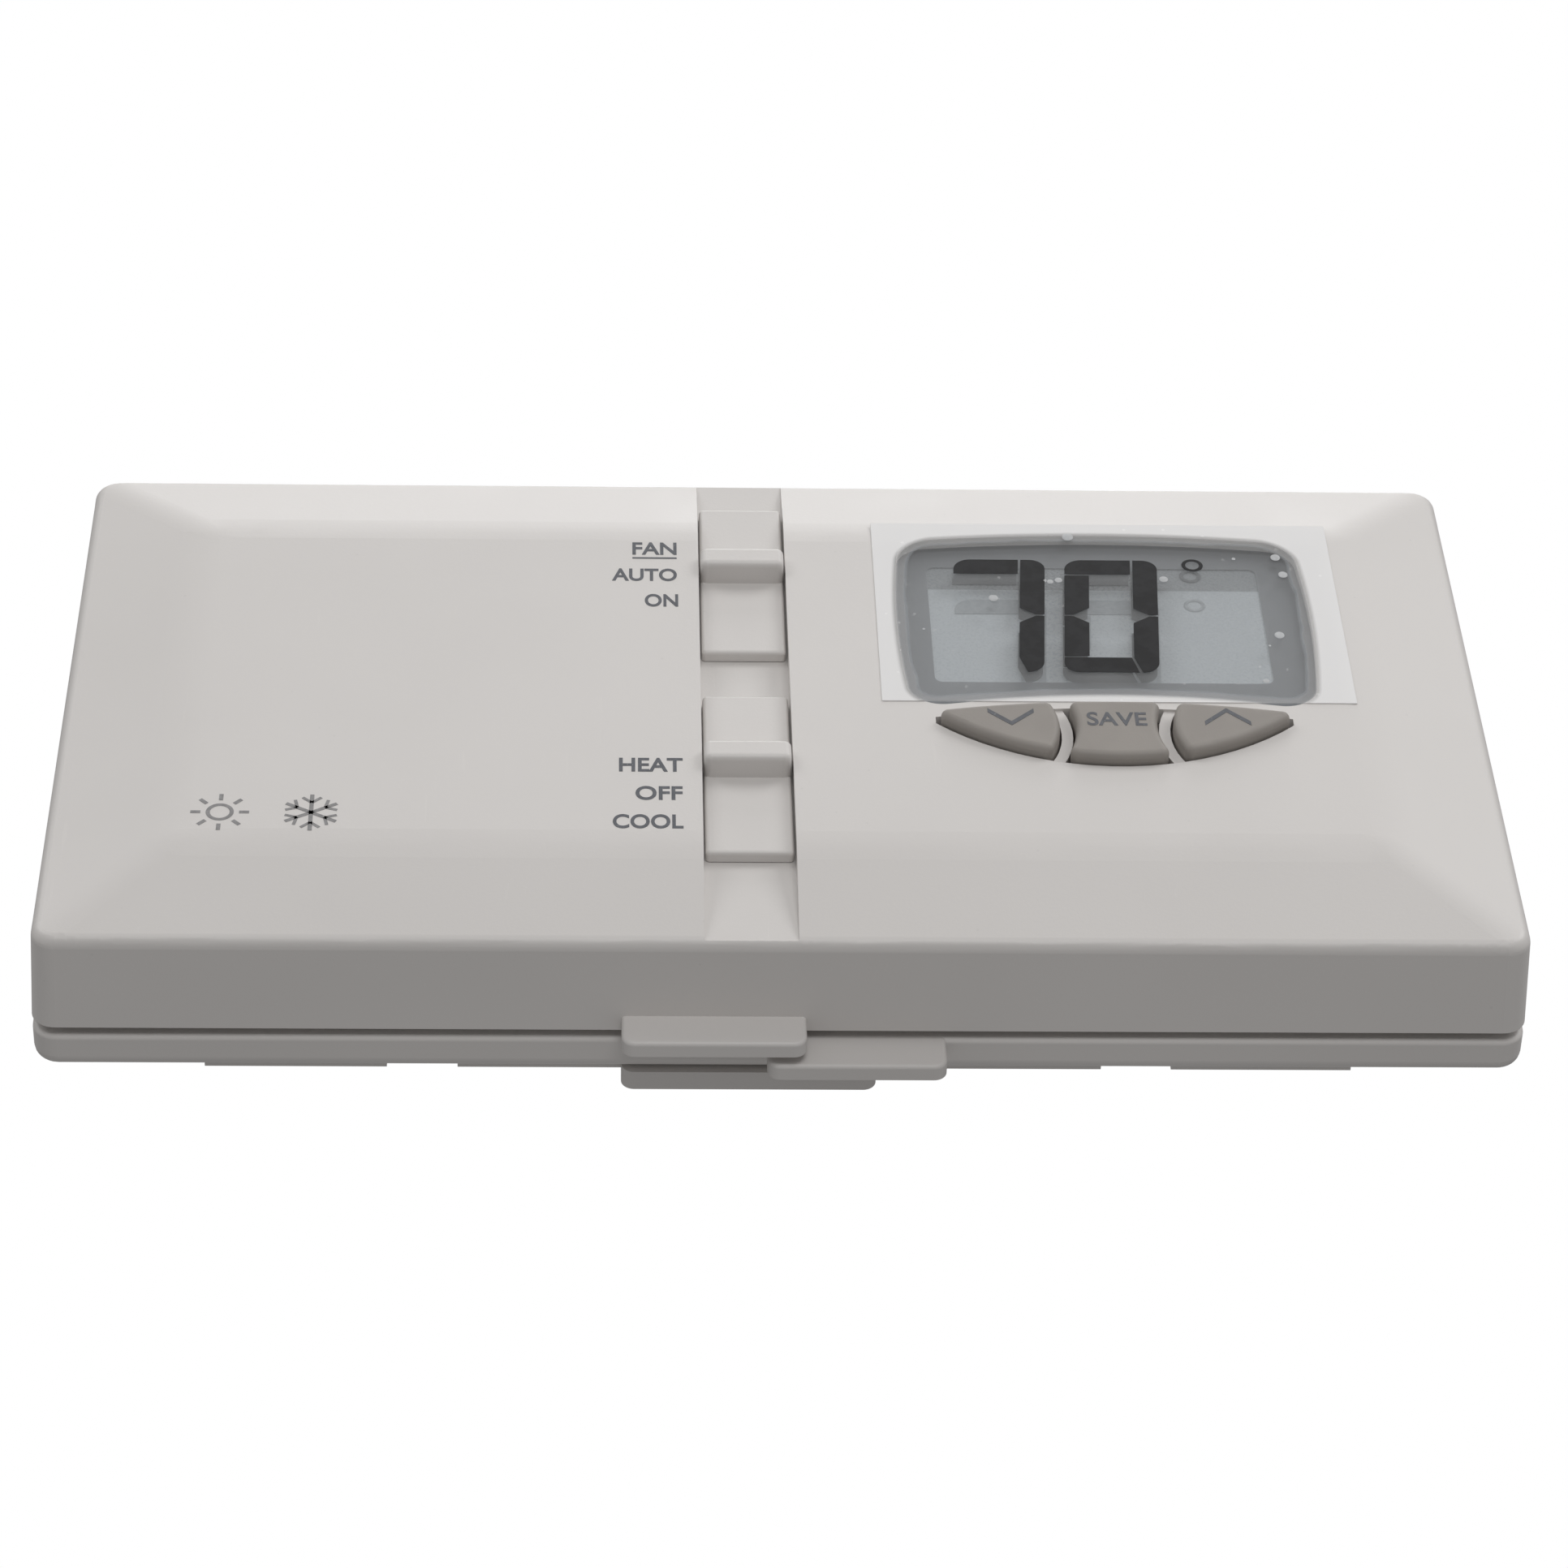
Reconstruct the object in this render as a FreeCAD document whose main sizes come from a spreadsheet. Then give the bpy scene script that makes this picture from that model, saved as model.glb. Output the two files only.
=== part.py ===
import FreeCAD
import Part
import Sketcher
import os
import re

# Wall thermostat, flat on its wall. X runs to the right as seen from the room, +Z runs up the wall
# and the wall is the plane Y = 0. "Depth" is the distance from the wall into the room, which is -Y.
# Three layers hang on each other: a wall plate, a rear case that swings on the plate's top hooks,
# and a front cover that swings up on the rear case. Lengths are millimetres.

DIMENSIONS = (
    # outline of the three layers
    ("case_width", 146.0, "cover width at its front edge"),
    ("case_height", 80.0, "cover height at its front edge"),
    ("draft", 0.5, "how much each side grows from the front edge to the seam"),
    ("corner_radius", 2.5, "upright corners of cover and rear case"),
    ("tray_back_round", 1.5, "rounding of the rear case's back edge"),
    ("tray_front_round", 0.5, "rounding of the rear case's front edge"),
    ("lip_gap", 0.55, "gap between the cover's wall and the lip inside it"),
    ("lip_wall", 1.4, "that lip"),
    ("face_inset_x", 12.3, "width of the sloping border at the left and right"),
    ("face_inset_z", 12.6, "width of the sloping border at the top and bottom"),
    ("shell_wall", 1.8, "cover wall"),
    ("edge_round", 1.3, "rounding between side walls and sloping border"),
    ("face_round", 20.0, "rounding between the sloping border and the face"),
    # depths from the wall
    ("plate_front", 2.2, "front of the wall plate"),
    ("case_back", 2.4, "back of the rear case"),
    ("case_floor", 4.0, "front of the rear case's floor"),
    ("rim_front", 6.5, "front of the rear case's outer rim"),
    ("seam", 7.6, "rear edge of the cover"),
    ("lip_front", 9.6, "front of the lip that stands inside the cover"),
    ("board_back", 10.4, "back of the circuit board"),
    ("board_front", 12.0, "front of the circuit board"),
    ("wall_top", 18.05, "front edge of the cover's side walls, and floor of the slider channel"),
    ("face", 20.65, "front face"),
    # small allowances used all over
    ("overshoot", 1.0, "how far a cutting block stands clear of what it cuts"),
    ("root", 0.5, "how deep a joined piece is set into its base"),
    ("hair", 0.01, "overlap that keeps two cutting faces from lying in one plane"),
    ("off_wall", 0.2, "gap between the wall and a raised bed of the wall plate"),
    # wall plate
    ("plate_inset", 3.3, "wall plate edge behind the rear case's edge"),
    ("plate_recess", 0.9, "recess in the plate's back"),
    ("plate_border", 2.2, "border round that recess"),
    ("plate_round", 0.5, "rounding of the plate's front edge"),
    ("stiffener_z", 24.0, "stiffening ribs above and below the middle"),
    ("stiffener_half", 0.6, "half a stiffening rib's height"),
    ("stiffener_inset", 5.0, "stiffening ribs' ends inside the case's edge"),
    ("top_step_front", 1.1, "front of the thinned strip above the hooks"),
    ("top_step_drop", 0.6, "start of that strip below the hooks' pivot"),
    ("top_bed_low", 33.5, "bed behind the hooks, lower edge"),
    ("top_bed_high", 36.7, "bed behind the hooks, upper edge"),
    ("screw_pitch", 83.3, "between the two wall screw slots"),
    ("screw_slot", 8.2, "wall screw slot, end to end"),
    ("screw_hole_radius", 2.2, "half the width of a wall screw slot"),
    ("pad_radius", 6.5, "pad round a wall screw slot"),
    ("wire_left", 6.0, "wire opening, left edge"),
    ("wire_right", 33.0, "wire opening, right edge"),
    ("wire_half_height", 10.0, "half the wire opening's height"),
    ("wire_collar", 1.5, "collar round the wire opening"),
    ("hook_x", 35.0, "wall hooks left and right of the middle"),
    ("hook_width", 6.0, "wall hook"),
    ("hook_height", 35.2, "pivot height of the wall hooks"),
    ("hook_step", 1.3, "thickness of a hook's post and lip"),
    ("hook_rise", 1.3, "how far a hook's lip rises above the pivot"),
    ("hook_play", 0.15, "gap over a hook's post"),
    ("hook_gap", 0.2, "gap behind a hook's lip"),
    ("hook_slot_play", 0.5, "gap beside a hook in its slot"),
    ("hook_slot_drop", 2.9, "how far a hook's slot reaches below the pivot"),
    ("notch_depth", 2.0, "notches in the wall plate's bottom edge"),
    ("catch_notch_near", 32.0, "catch notch, inner end"),
    ("catch_notch_far", 39.0, "catch notch, outer end"),
    ("corner_notch_near", 57.0, "corner notch, inner end"),
    ("corner_notch_far", 75.0, "corner notch, outer end"),
    # finger tabs under the case
    ("tab_reach", 44.6, "how far down the finger tabs reach"),
    ("tab_left", -15.8, "left side of the cover tab and the plate tab"),
    ("cover_tab_right", 2.3, "right side of the cover tab"),
    ("cover_tab_front", 9.3, "front of the cover tab"),
    ("case_tab_left", -1.5, "left side of the rear case tab"),
    ("case_tab_right", 16.1, "right side of the rear case tab"),
    ("case_tab_back", 4.75, "back of the rear case tab"),
    ("plate_tab_right", 9.45, "right side of the plate tab"),
    ("tab_corner", 1.3, "corner radius of the tabs"),
    ("tab_round", 0.4, "rounding of the tabs' front edges"),
    ("plate_tab_root", 30.0, "where the plate tab starts, below the middle"),
    ("case_tab_root", 37.5, "where the rear case tab starts, below the middle"),
    ("cover_tab_root", 38.9, "where the cover tab starts, below the middle"),
    # terminal block
    ("block_left", 14.0, "terminal block, left end"),
    ("block_right", 58.0, "terminal block, right end"),
    ("block_low", -31.0, "terminal block, lower edge"),
    ("block_high", -15.5, "terminal block, upper edge"),
    ("block_front", 8.6, "terminal block, front"),
    ("terminal_pitch", 6.0, "between terminals"),
    ("terminal_screw_z", -19.6, "row of terminal screws"),
    ("terminal_pin_z", -27.4, "row of plug pins"),
    ("terminal_pocket", 2.35, "radius of a terminal screw pocket"),
    ("terminal_floor", 1.8, "floor of the pockets above the wall plate"),
    ("wire_tunnel_half", 1.6, "half a wire tunnel's width"),
    ("wire_tunnel_depth", 2.6, "wire tunnel, floor to roof"),
    ("socket_half", 1.0, "half a pin socket's width"),
    ("socket_floor", 2.6, "floor of the pin sockets above the wall plate"),
    ("socket_below", 1.1, "pin socket below its pin's row"),
    ("socket_above", 1.8, "pin socket above its pin's row"),
    ("clamp_thick", 0.6, "clamp plate"),
    ("clamp_play", 0.1, "gap round a clamp plate"),
    ("screw_play", 0.35, "gap round a terminal screw's head"),
    ("screw_shank_radius", 1.0, "terminal screw's shank"),
    ("screw_head_back", 2.8, "back of a terminal screw's head above its pocket's floor"),
    ("screw_head_front", 4.2, "front of that head"),
    ("driver_slot_floor", 3.6, "floor of its driver slot"),
    ("driver_slot_half", 0.3, "half a driver slot's width"),
    ("pin_size", 0.64, "square plug pin"),
    ("strip_inset", 2.0, "plug strip inside the block's ends"),
    ("strip_thick", 1.4, "plug strip"),
    ("strip_half", 1.25, "half the plug strip's height"),
    ("pin_tip", 6.4, "depth of the plug pins' tips"),
    # circuit board
    ("board_left", -9.0, "circuit board, left edge"),
    ("board_right", 68.0, "circuit board, right edge"),
    ("board_half_height", 34.0, "half the board's height"),
    ("post_radius", 2.6, "screw posts under the board"),
    ("post_left", -6.2, "left screw posts"),
    ("post_right", 64.6, "right screw posts"),
    ("post_height", 31.0, "screw posts above and below the middle"),
    ("board_hole", 1.35, "board screw clearance radius"),
    ("post_bore", 0.9, "bore of a screw post"),
    ("board_screw_head", 2.3, "board screw's head radius"),
    ("board_screw_rise", 1.5, "board screw's head height"),
    ("board_screw_shank", 0.85, "board screw's shank radius"),
    ("board_screw_length", 4.6, "board screw's shank behind the board"),
    ("cross_floor", 0.8, "floor of its cross slot above the board"),
    ("cross_reach", 1.3, "half the cross slot's length"),
    ("cross_half", 0.3, "half the cross slot's width"),
    # vents and openings of the rear case
    ("opening_left", 3.0, "case opening, left edge"),
    ("opening_right", 60.5, "case opening, right edge"),
    ("opening_low", -33.2, "case opening, lower edge"),
    ("opening_high", 14.0, "case opening, upper edge"),
    ("screw_access", 5.0, "radius of the opening in front of the left wall screw"),
    ("vent_start", 5.0, "first vent, left edge"),
    ("vent_pitch", 5.0, "between vents"),
    ("vent_width", 3.0, "vent"),
    ("vent_low", 17.5, "vents, lower end"),
    ("vent_high", 29.0, "vents, upper end"),
    # battery bay
    ("battery_radius", 7.15, "AA cell"),
    ("battery_length", 49.3, "AA cell without its nub"),
    ("battery_nub", 1.1, "positive nub"),
    ("battery_left", -62.4, "left end of the cells"),
    ("battery_offset", 8.1, "cell axes above and below the middle"),
    ("battery_axis", 11.0, "depth of the cell axes"),
    ("bay_left", -63.9, "inner left side of the battery bay"),
    ("bay_right", -10.6, "inner right side of the battery bay"),
    ("bay_half_height", 15.9, "half the bay's height"),
    ("bay_wall", 1.2, "bay wall"),
    ("bay_rise", 2.0, "how far the bay walls stand in front of the cells' axes"),
    ("saddle_rise", 1.4, "saddle between the cells"),
    ("saddle_half", 0.7, "half the saddle's height"),
    ("window_inset", 0.8, "window behind each cell, inside the bay's ends"),
    ("window_half", 5.0, "half that window's height"),
    ("nub_radius", 2.7, "positive nub's radius"),
    ("contact_reach", 5.0, "how far a contact plate reaches from its cell's axis"),
    ("contact_front", 2.0, "how far it reaches in front of that axis"),
    ("spring_radius", 4.2, "battery spring, outside"),
    ("spring_bore", 3.4, "battery spring, inside"),
    # display
    ("lens_left", 12.75, "display lens, left side at mid height"),
    ("lens_right", 56.45, "display lens, right side at mid height"),
    ("lens_top", 26.9, "display lens, top at its middle"),
    ("lens_bottom", -2.35, "display lens, bottom at its middle"),
    ("lens_top_radius", 160.0, "bulge of the top edge"),
    ("lens_bottom_radius", 95.0, "hollow of the bottom edge"),
    ("lens_side_radius", 118.0, "bulge of the sides"),
    ("lens_corner", 3.6, "corner radius of the lens"),
    ("lens_side_height", 11.52, "height of the middle of the lens's curved sides"),
    ("lens_play", 0.1, "gap round the lens"),
    ("glue_line", 0.05, "glue in front of the lens's flange"),
    ("lens_sunk", 0.2, "lens front behind the face"),
    ("lens_back", 18.9, "back of the lens"),
    ("lens_flange", 0.8, "glued flange round the lens"),
    ("flange_front", 19.4, "front of that flange"),
    ("film_left", 10.75, "protective film, left edge"),
    ("film_right", 59.6, "protective film, right edge"),
    ("film_bottom", -3.5, "protective film, bottom edge"),
    ("film_top", 28.8, "protective film, top edge"),
    ("film_thick", 0.12, "protective film"),
    ("panel_left", 13.7, "display glass, left edge"),
    ("panel_right", 55.3, "display glass, right edge"),
    ("panel_bottom", -0.4, "display glass, bottom edge"),
    ("panel_top", 25.8, "display glass, top edge"),
    ("panel_front", 18.75, "front of the display glass"),
    ("panel_thick", 2.6, "display glass"),
    ("frame_wall", 1.2, "wall of the display frame"),
    ("frame_sunk", 0.5, "display frame behind the glass's front"),
    ("frame_ledge", 0.8, "ledge of the frame under the glass, top and bottom"),
    ("panel_play", 0.1, "gap round the glass"),
    ("strip_end", 2.0, "rubber strips inside the glass's ends"),
    ("strip_near", 1.0, "rubber strips inside the glass's edge"),
    ("strip_far", 3.0, "far side of the rubber strips"),
    # keys under the display
    ("key_centre", 34.4, "middle of the three keys"),
    ("key_low", -14.4, "lowest point of the key opening"),
    ("key_low_radius", 27.0, "bottom curve of the key opening"),
    ("key_high", -4.45, "highest point of the key opening"),
    ("key_high_radius", 98.0, "top curve of the key opening"),
    ("key_tip", 18.3, "half width of the key opening"),
    ("rib_offset", 15.1, "centre of a rib's curve beside the middle"),
    ("rib_height", -8.7, "centre of a rib's curve, height"),
    ("rib_inner", 9.55, "outer key side of a rib"),
    ("rib_outer", 10.7, "middle key side of a rib"),
    ("rib_sunk", 0.3, "ribs behind the face"),
    ("key_gap", 0.25, "gap round a key"),
    ("key_tip_gap", 2.0, "how much wider that gap is at the tips, as a factor"),
    ("key_top", 22.0, "front of the keys"),
    ("key_round", 0.7, "rounding of the key tops"),
    ("key_corner", 0.8, "corner radius of a key's outline"),
    ("key_flange_front", 18.75, "front of the flange that holds a key in"),
    ("key_flange_back", 17.7, "back of that flange"),
    ("key_flange", 0.4, "how far that flange stands out"),
    ("key_post_radius", 2.4, "key post"),
    ("key_field", 30.0, "reach of the blocks that cut the keys' shapes"),
    ("middle_field", 10.0, "half the width of the block that cuts out the middle key"),
    ("side_flange_half", 12.0, "half the flange's width on an outer key"),
    ("middle_flange_half", 5.6, "half the flange's width on the middle key"),
    ("flange_top", 0.45, "flanges above the key opening"),
    ("pill_thick", 0.4, "thickness of a contact pill"),
    ("pill_inset", 0.3, "pill inside its post's edge"),
    ("key_side_x", 10.6, "posts of the outer keys beside the middle"),
    ("key_post_z", -9.2, "height of the key posts"),
    ("pill_back", 13.05, "back of the contact pills"),
    ("mat_back", 14.0, "back of the keypad mat"),
    ("mat_front", 15.0, "front of the keypad mat"),
    ("mat_half", 22.0, "half the mat's width"),
    ("mat_low", -16.2, "lower edge of the mat"),
    ("mat_high", -4.0, "upper edge of the mat"),
    ("mat_corner", 2.0, "corners of the mat"),
    ("mat_hole_play", 0.5, "gap round a key post in the mat"),
    ("peg_radius", 0.8, "pegs that carry the mat"),
    ("peg_side", 20.6, "outer pegs from the keys' middle"),
    ("peg_side_z", -9.2, "height of the outer pegs"),
    ("peg_low_x", 9.0, "lower pegs from the keys' middle"),
    ("peg_low_z", -15.1, "height of the lower pegs"),
    # slider channel and the two sliders
    ("channel_left", -7.8, "channel, left side"),
    ("channel_right", 1.4, "channel, right side"),
    ("channel_floor", 1.6, "thickness of the channel's floor"),
    ("channel_wall", 1.6, "thickness of the channel's side walls"),
    ("channel_inset", 1.2, "channel walls and bed inside the cover's outer faces"),
    ("rail_half", 32.0, "half the length of the channel's side walls"),
    ("slider_gap", 0.2, "gap beside a slider"),
    ("slider_lift", 0.1, "gap under a slider"),
    ("slider_front", 19.35, "front of a slider's plate"),
    ("ridge_front", 22.0, "front of a slider's ridge"),
    ("switch_step", 4.7, "travel from one switch position to the next"),
    ("fan_low", 6.8, "fan slider plate, lower end at AUTO"),
    ("fan_high", 33.3, "fan slider plate, upper end at AUTO"),
    ("fan_ridge", 20.8, "fan slider ridge at AUTO"),
    ("system_low", -27.2, "system slider plate, lower end at HEAT"),
    ("system_high", -0.9, "system slider plate, upper end at HEAT"),
    ("system_ridge", -13.4, "system slider ridge at HEAT"),
    ("ridge_half", 1.5, "half the ridge's height"),
    ("stem_half", 2.5, "half the stem's height"),
    ("stem_half_width", 1.6, "half the stem's width"),
    ("stem_play", 0.3, "gap round a stem in its slot"),
    ("foot_reach", 0.9, "foot of a stem beside it"),
    ("foot_thick", 0.6, "thickness of that foot"),
    ("fork_gap", 0.7, "half the fork's opening beyond the lever"),
    ("fork_half_width", 4.0, "half the width of the fork's opening"),
    ("slider_corner", 0.45, "corners of a slider's plate"),
    ("slider_round", 0.4, "front edges of a slider's plate"),
    ("ridge_corner", 0.7, "corners of a slider's ridge"),
    ("ridge_round", 0.6, "front edges of a slider's ridge"),
    ("stem_back", 15.7, "back of the stem"),
    ("lever_half", 0.7, "half the switch lever's height"),
    ("lever_front", 16.6, "front of a switch lever"),
    ("switch_front", 15.2, "front of a slide switch"),
    ("switch_half_width", 4.0, "half a slide switch's width"),
    ("switch_end", 4.2, "switch beyond the lever's last places"),
    ("switch_floor", 1.0, "thickness of a switch's floor"),
    ("lever_half_width", 1.2, "half the switch lever's width"),
    ("lever_back", 1.1, "back of the switch lever above the board"),
    ("lever_play", 0.3, "gap round the switch lever"),
    ("relay_start", 8.5, "left edge of the first relay"),
    ("relay_pitch", 17.5, "from one relay to the next"),
    ("relay_width", 14.5, "relay width"),
    ("relay_low", -32.5, "lower edge of the relays"),
    ("relay_high", -22.5, "upper edge of the relays"),
    ("relay_height", 5.2, "height of a relay on the board"),
    ("relay_corner", 0.6, "relay corners"),
    ("relay_round", 0.4, "relay front edges"),
    ("chip_left", 57.5, "left edge of the microcontroller"),
    ("chip_low", -11.0, "lower edge of the microcontroller"),
    ("chip_size", 9.0, "side of the microcontroller"),
    ("chip_lift", 0.2, "gap under the microcontroller"),
    ("chip_front", 13.6, "front of the microcontroller"),
    ("lead_start", 0.85, "first lead above the chip's lower edge"),
    ("lead_pitch", 1.04, "from one lead to the next"),
    ("lead_half", 0.2, "half a lead's width"),
    ("lead_reach", 1.0, "lead beyond the chip's side"),
    ("lead_sunk", 0.1, "lead inside the chip's side"),
    ("lead_thick", 0.6, "height of a lead"),
    ("crystal_x", 61.0, "crystal, from the middle"),
    ("crystal_z", 3.5, "crystal, above the middle"),
    ("crystal_radius", 1.5, "crystal can"),
    ("crystal_flange", 1.9, "flange of the crystal can"),
    ("crystal_height", 3.2, "height of the crystal"),
    ("crystal_foot", 0.5, "height of that flange"),
    ("capacitor_x", 62.0, "capacitors and air sensor, from the middle"),
    ("capacitor_low", 11.0, "lower capacitor, above the middle"),
    ("capacitor_pitch", 6.5, "between the two capacitors"),
    ("capacitor_radius", 2.5, "capacitor can"),
    ("capacitor_height", 5.4, "height of a capacitor"),
    ("sensor_z", -28.0, "air sensor, above the middle"),
    ("sensor_leg", 0.3, "radius of the sensor's legs"),
    ("sensor_leg_half", 0.8, "half the distance between those legs"),
    ("sensor_leg_length", 2.4, "length of those legs"),
    ("sensor_bead", 1.5, "radius of the sensor's bead"),
    ("sensor_height", 3.4, "middle of the bead above the board"),
    # cover hinge
    ("hinge_x", 60.0, "cover hinges left and right of the middle"),
    ("hinge_height", 38.6, "cover hinge axis, height"),
    ("hinge_depth", 5.0, "cover hinge axis, depth"),
    ("hinge_pin", 0.9, "hinge stub radius"),
    ("hinge_play", 0.05, "radial play of a hinge stub"),
    ("arm_half_width", 2.0, "half a hinge arm's width"),
    ("arm_gap", 0.3, "gap beside a hinge arm"),
    ("arm_below", 0.9, "hinge arm below its axis"),
    ("arm_above", 1.3, "hinge arm above its axis, and radius of its eye"),
    ("arm_reach", 5.0, "how far a hinge arm reaches in front of the seam"),
    ("arm_slot_back", 1.6, "slot for a hinge arm, behind its axis"),
    ("arm_slot_low", 35.0, "slot for a hinge arm, lower end"),
    ("stub_length", 2.6, "hinge stub beside its arm"),
    ("bore_length", 3.4, "hinge bore beside its arm"),
    ("cheek_offset", 1.7, "middle of a hinge cheek beside its arm"),
    ("cheek_width", 3.0, "hinge cheek"),
    ("cheek_low", 35.6, "hinge cheek, lower end"),
    ("cheek_high", 40.0, "hinge cheek, upper end"),
    ("cheek_sunk", 0.1, "hinge cheek behind the rim's front"),
)

WORD = re.compile(r"[a-z][a-z_]*[a-z]")
FUNCTIONS = ("sqrt", "sin", "cos", "tan", "abs")
TOWARDS_ROOM = FreeCAD.Rotation(FreeCAD.Vector(1, 0, 0), 90)
ALONG_X = FreeCAD.Rotation(FreeCAD.Vector(0, 1, 0), 90)
PARTS_FOLDER = "parts"
VENTS = 10
CHIP_LEADS = 8
KEY_FIELD = ("-key_field", "key_field")
NEAR = 0.01

doc = FreeCAD.newDocument("WallThermostat")
sheet = doc.addObject("Spreadsheet::Sheet", "Sheet")
nodes = []


# ---- sheet, expressions and small builders ---------------------------------------------------

def fill_sheet():
    """Write each driving dimension in column A with its alias and a note beside it."""
    for row, (alias, number, note) in enumerate(DIMENSIONS, start=1):
        sheet.set(f"A{row}", str(number))
        sheet.set(f"B{row}", note)
        sheet.setAlias(f"A{row}", alias)
    doc.recompute()


def on_sheet(text):
    """Point every alias of an expression at the sheet."""
    return WORD.sub(lambda m: m.group() if m.group() in FUNCTIONS else f"Sheet.{m.group()}", str(text))


def value(text):
    """An expression's value now."""
    return float(sheet.evalExpression(on_sheet(text)))


def bind(thing, **properties):
    """Bind properties to expressions on the sheet; x, depth and z stand for the place."""
    for name, text in properties.items():
        if name == "x":
            thing.setExpression("Placement.Base.x", on_sheet(text))
        elif name == "depth":
            thing.setExpression("Placement.Base.y", f"-({on_sheet(text)})")
        elif name == "z":
            thing.setExpression("Placement.Base.z", on_sheet(text))
        else:
            thing.setExpression(name, on_sheet(text))


def box(name, x, depth, z):
    """A block between two x, two depths and two heights."""
    block = doc.addObject("Part::Box", name)
    bind(block, Length=f"({x[1]}) - ({x[0]})", Width=f"({depth[1]}) - ({depth[0]})")
    bind(block, Height=f"({z[1]}) - ({z[0]})", x=x[0], depth=depth[1], z=z[0])
    return block


def rod(name, radius, x, z, depth):
    """A round rod that runs from one depth to another."""
    cylinder = doc.addObject("Part::Cylinder", name)
    cylinder.Placement = FreeCAD.Placement(FreeCAD.Vector(), TOWARDS_ROOM)
    bind(cylinder, Radius=radius, Height=f"({depth[1]}) - ({depth[0]})", x=x, depth=depth[0], z=z)
    return cylinder


def bar(name, radius, x, depth, z):
    """A round bar that runs from one x to another."""
    cylinder = doc.addObject("Part::Cylinder", name)
    cylinder.Placement = FreeCAD.Placement(FreeCAD.Vector(), ALONG_X)
    bind(cylinder, Radius=radius, Height=f"({x[1]}) - ({x[0]})", x=x[0], depth=depth, z=z)
    return cylinder


def fuse(name, shapes):
    joined = doc.addObject("Part::MultiFuse", name)
    joined.Shapes = shapes
    return joined


def common(name, shapes):
    shared = doc.addObject("Part::MultiCommon", name)
    shared.Shapes = shapes
    return shared


def cut(name, base, tools):
    """Take one or more tools away from a base."""
    result = doc.addObject("Part::Cut", name)
    result.Base = base
    result.Tool = tools[0] if len(tools) == 1 else fuse(f"{name}_tools", tools)
    return result


def group(name, solids):
    """Separate solids that share one node."""
    compound = doc.addObject("Part::Compound", name)
    compound.Links = solids
    return compound


def node(thing, name):
    """Name a finished sub-part."""
    thing.Label = name
    nodes.append(thing)
    return thing


# ---- sketches and features -------------------------------------------------------------------

def rounded_rectangle(x, z, radius):
    """Corner points of a rounded rectangle, and the radius of the arcs between them."""
    low_x, high_x, low_z, high_z = f"({x[0]})", f"({x[1]})", f"({z[0]})", f"({z[1]})"
    points = [(f"{low_x} + {radius}", low_z), (f"{high_x} - {radius}", low_z),
              (high_x, f"{low_z} + {radius}"), (high_x, f"{high_z} - {radius}"),
              (f"{high_x} - {radius}", high_z), (f"{low_x} + {radius}", high_z),
              (low_x, f"{high_z} - {radius}"), (low_x, f"{low_z} + {radius}")]
    return points, {1: radius, 3: radius, 5: radius, 7: radius}


def arc_between(start, end, radius):
    """A counter-clockwise arc from start to end that bulges to the right of its chord."""
    chord = end - start
    height = (radius ** 2 - (chord.Length / 2) ** 2) ** 0.5
    left = FreeCAD.Vector(-chord.y, chord.x, 0).normalize()
    centre = start + chord / 2 + left * height
    circle = Part.Circle(centre, FreeCAD.Vector(0, 0, 1), radius)
    return Part.ArcOfCircle(circle, circle.parameter(start), circle.parameter(end))


def sketch(body, name, depth, outline):
    """A closed outline, counter-clockwise, in a plane at the given depth, with every point bound."""
    points, arcs = outline
    drawing = body.newObject("Sketcher::SketchObject", name)
    wall_plane = [plane for plane in body.Origin.OriginFeatures if plane.Role == "XZ_Plane"][0]
    drawing.AttachmentSupport = [(wall_plane, "")]
    drawing.MapMode = "FlatFace"
    drawing.setExpression("AttachmentOffset.Base.z", on_sheet(depth))
    corners = [FreeCAD.Vector(value(x), value(z), 0) for x, z in points]
    for index, start in enumerate(corners):
        end = corners[(index + 1) % len(corners)]
        if index in arcs:
            drawing.addGeometry(arc_between(start, end, value(arcs[index])), False)
        else:
            drawing.addGeometry(Part.LineSegment(start, end), False)
    for index, (x, z) in enumerate(points):
        drawing.addConstraint(Sketcher.Constraint("Coincident", index, 2, (index + 1) % len(points), 1))
        bind_constraint(drawing, ("DistanceX", index, 1), x)
        bind_constraint(drawing, ("DistanceY", index, 1), z)
        if index in arcs:
            bind_constraint(drawing, ("Radius", index), arcs[index])
    return drawing


def bind_constraint(drawing, target, text):
    number = drawing.addConstraint(Sketcher.Constraint(*target, value(text)))
    drawing.setExpression(f"Constraints[{number}]", on_sheet(text))


def pad(body, name, depth, outline):
    """Material between two depths."""
    feature = body.newObject("PartDesign::Pad", name)
    feature.Profile = sketch(body, f"{name}_outline", depth[0], outline)
    bind(feature, Length=f"({depth[1]}) - ({depth[0]})")
    doc.recompute()
    return feature


def pocket(body, name, depth, outline):
    """A pocket between two depths."""
    before = body.Shape.Volume
    feature = body.newObject("PartDesign::Pocket", name)
    feature.Profile = sketch(body, f"{name}_outline", depth[1], outline)
    bind(feature, Length=f"({depth[1]}) - ({depth[0]})")
    doc.recompute()
    if body.Shape.Volume >= before:
        raise RuntimeError(f"{name} cuts nothing")
    return feature


def loft(body, name, sections, hollow=False):
    """Ruled material, or a ruled hollow, through outlines at their depths."""
    kind = "PartDesign::SubtractiveLoft" if hollow else "PartDesign::AdditiveLoft"
    drawings = [sketch(body, f"{name}_{index}", depth, outline)
                for index, (depth, outline) in enumerate(sections)]
    feature = body.newObject(kind, name)
    feature.Profile = drawings[0]
    feature.Sections = drawings[1:]
    feature.Ruled = True
    doc.recompute()
    return feature


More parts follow.
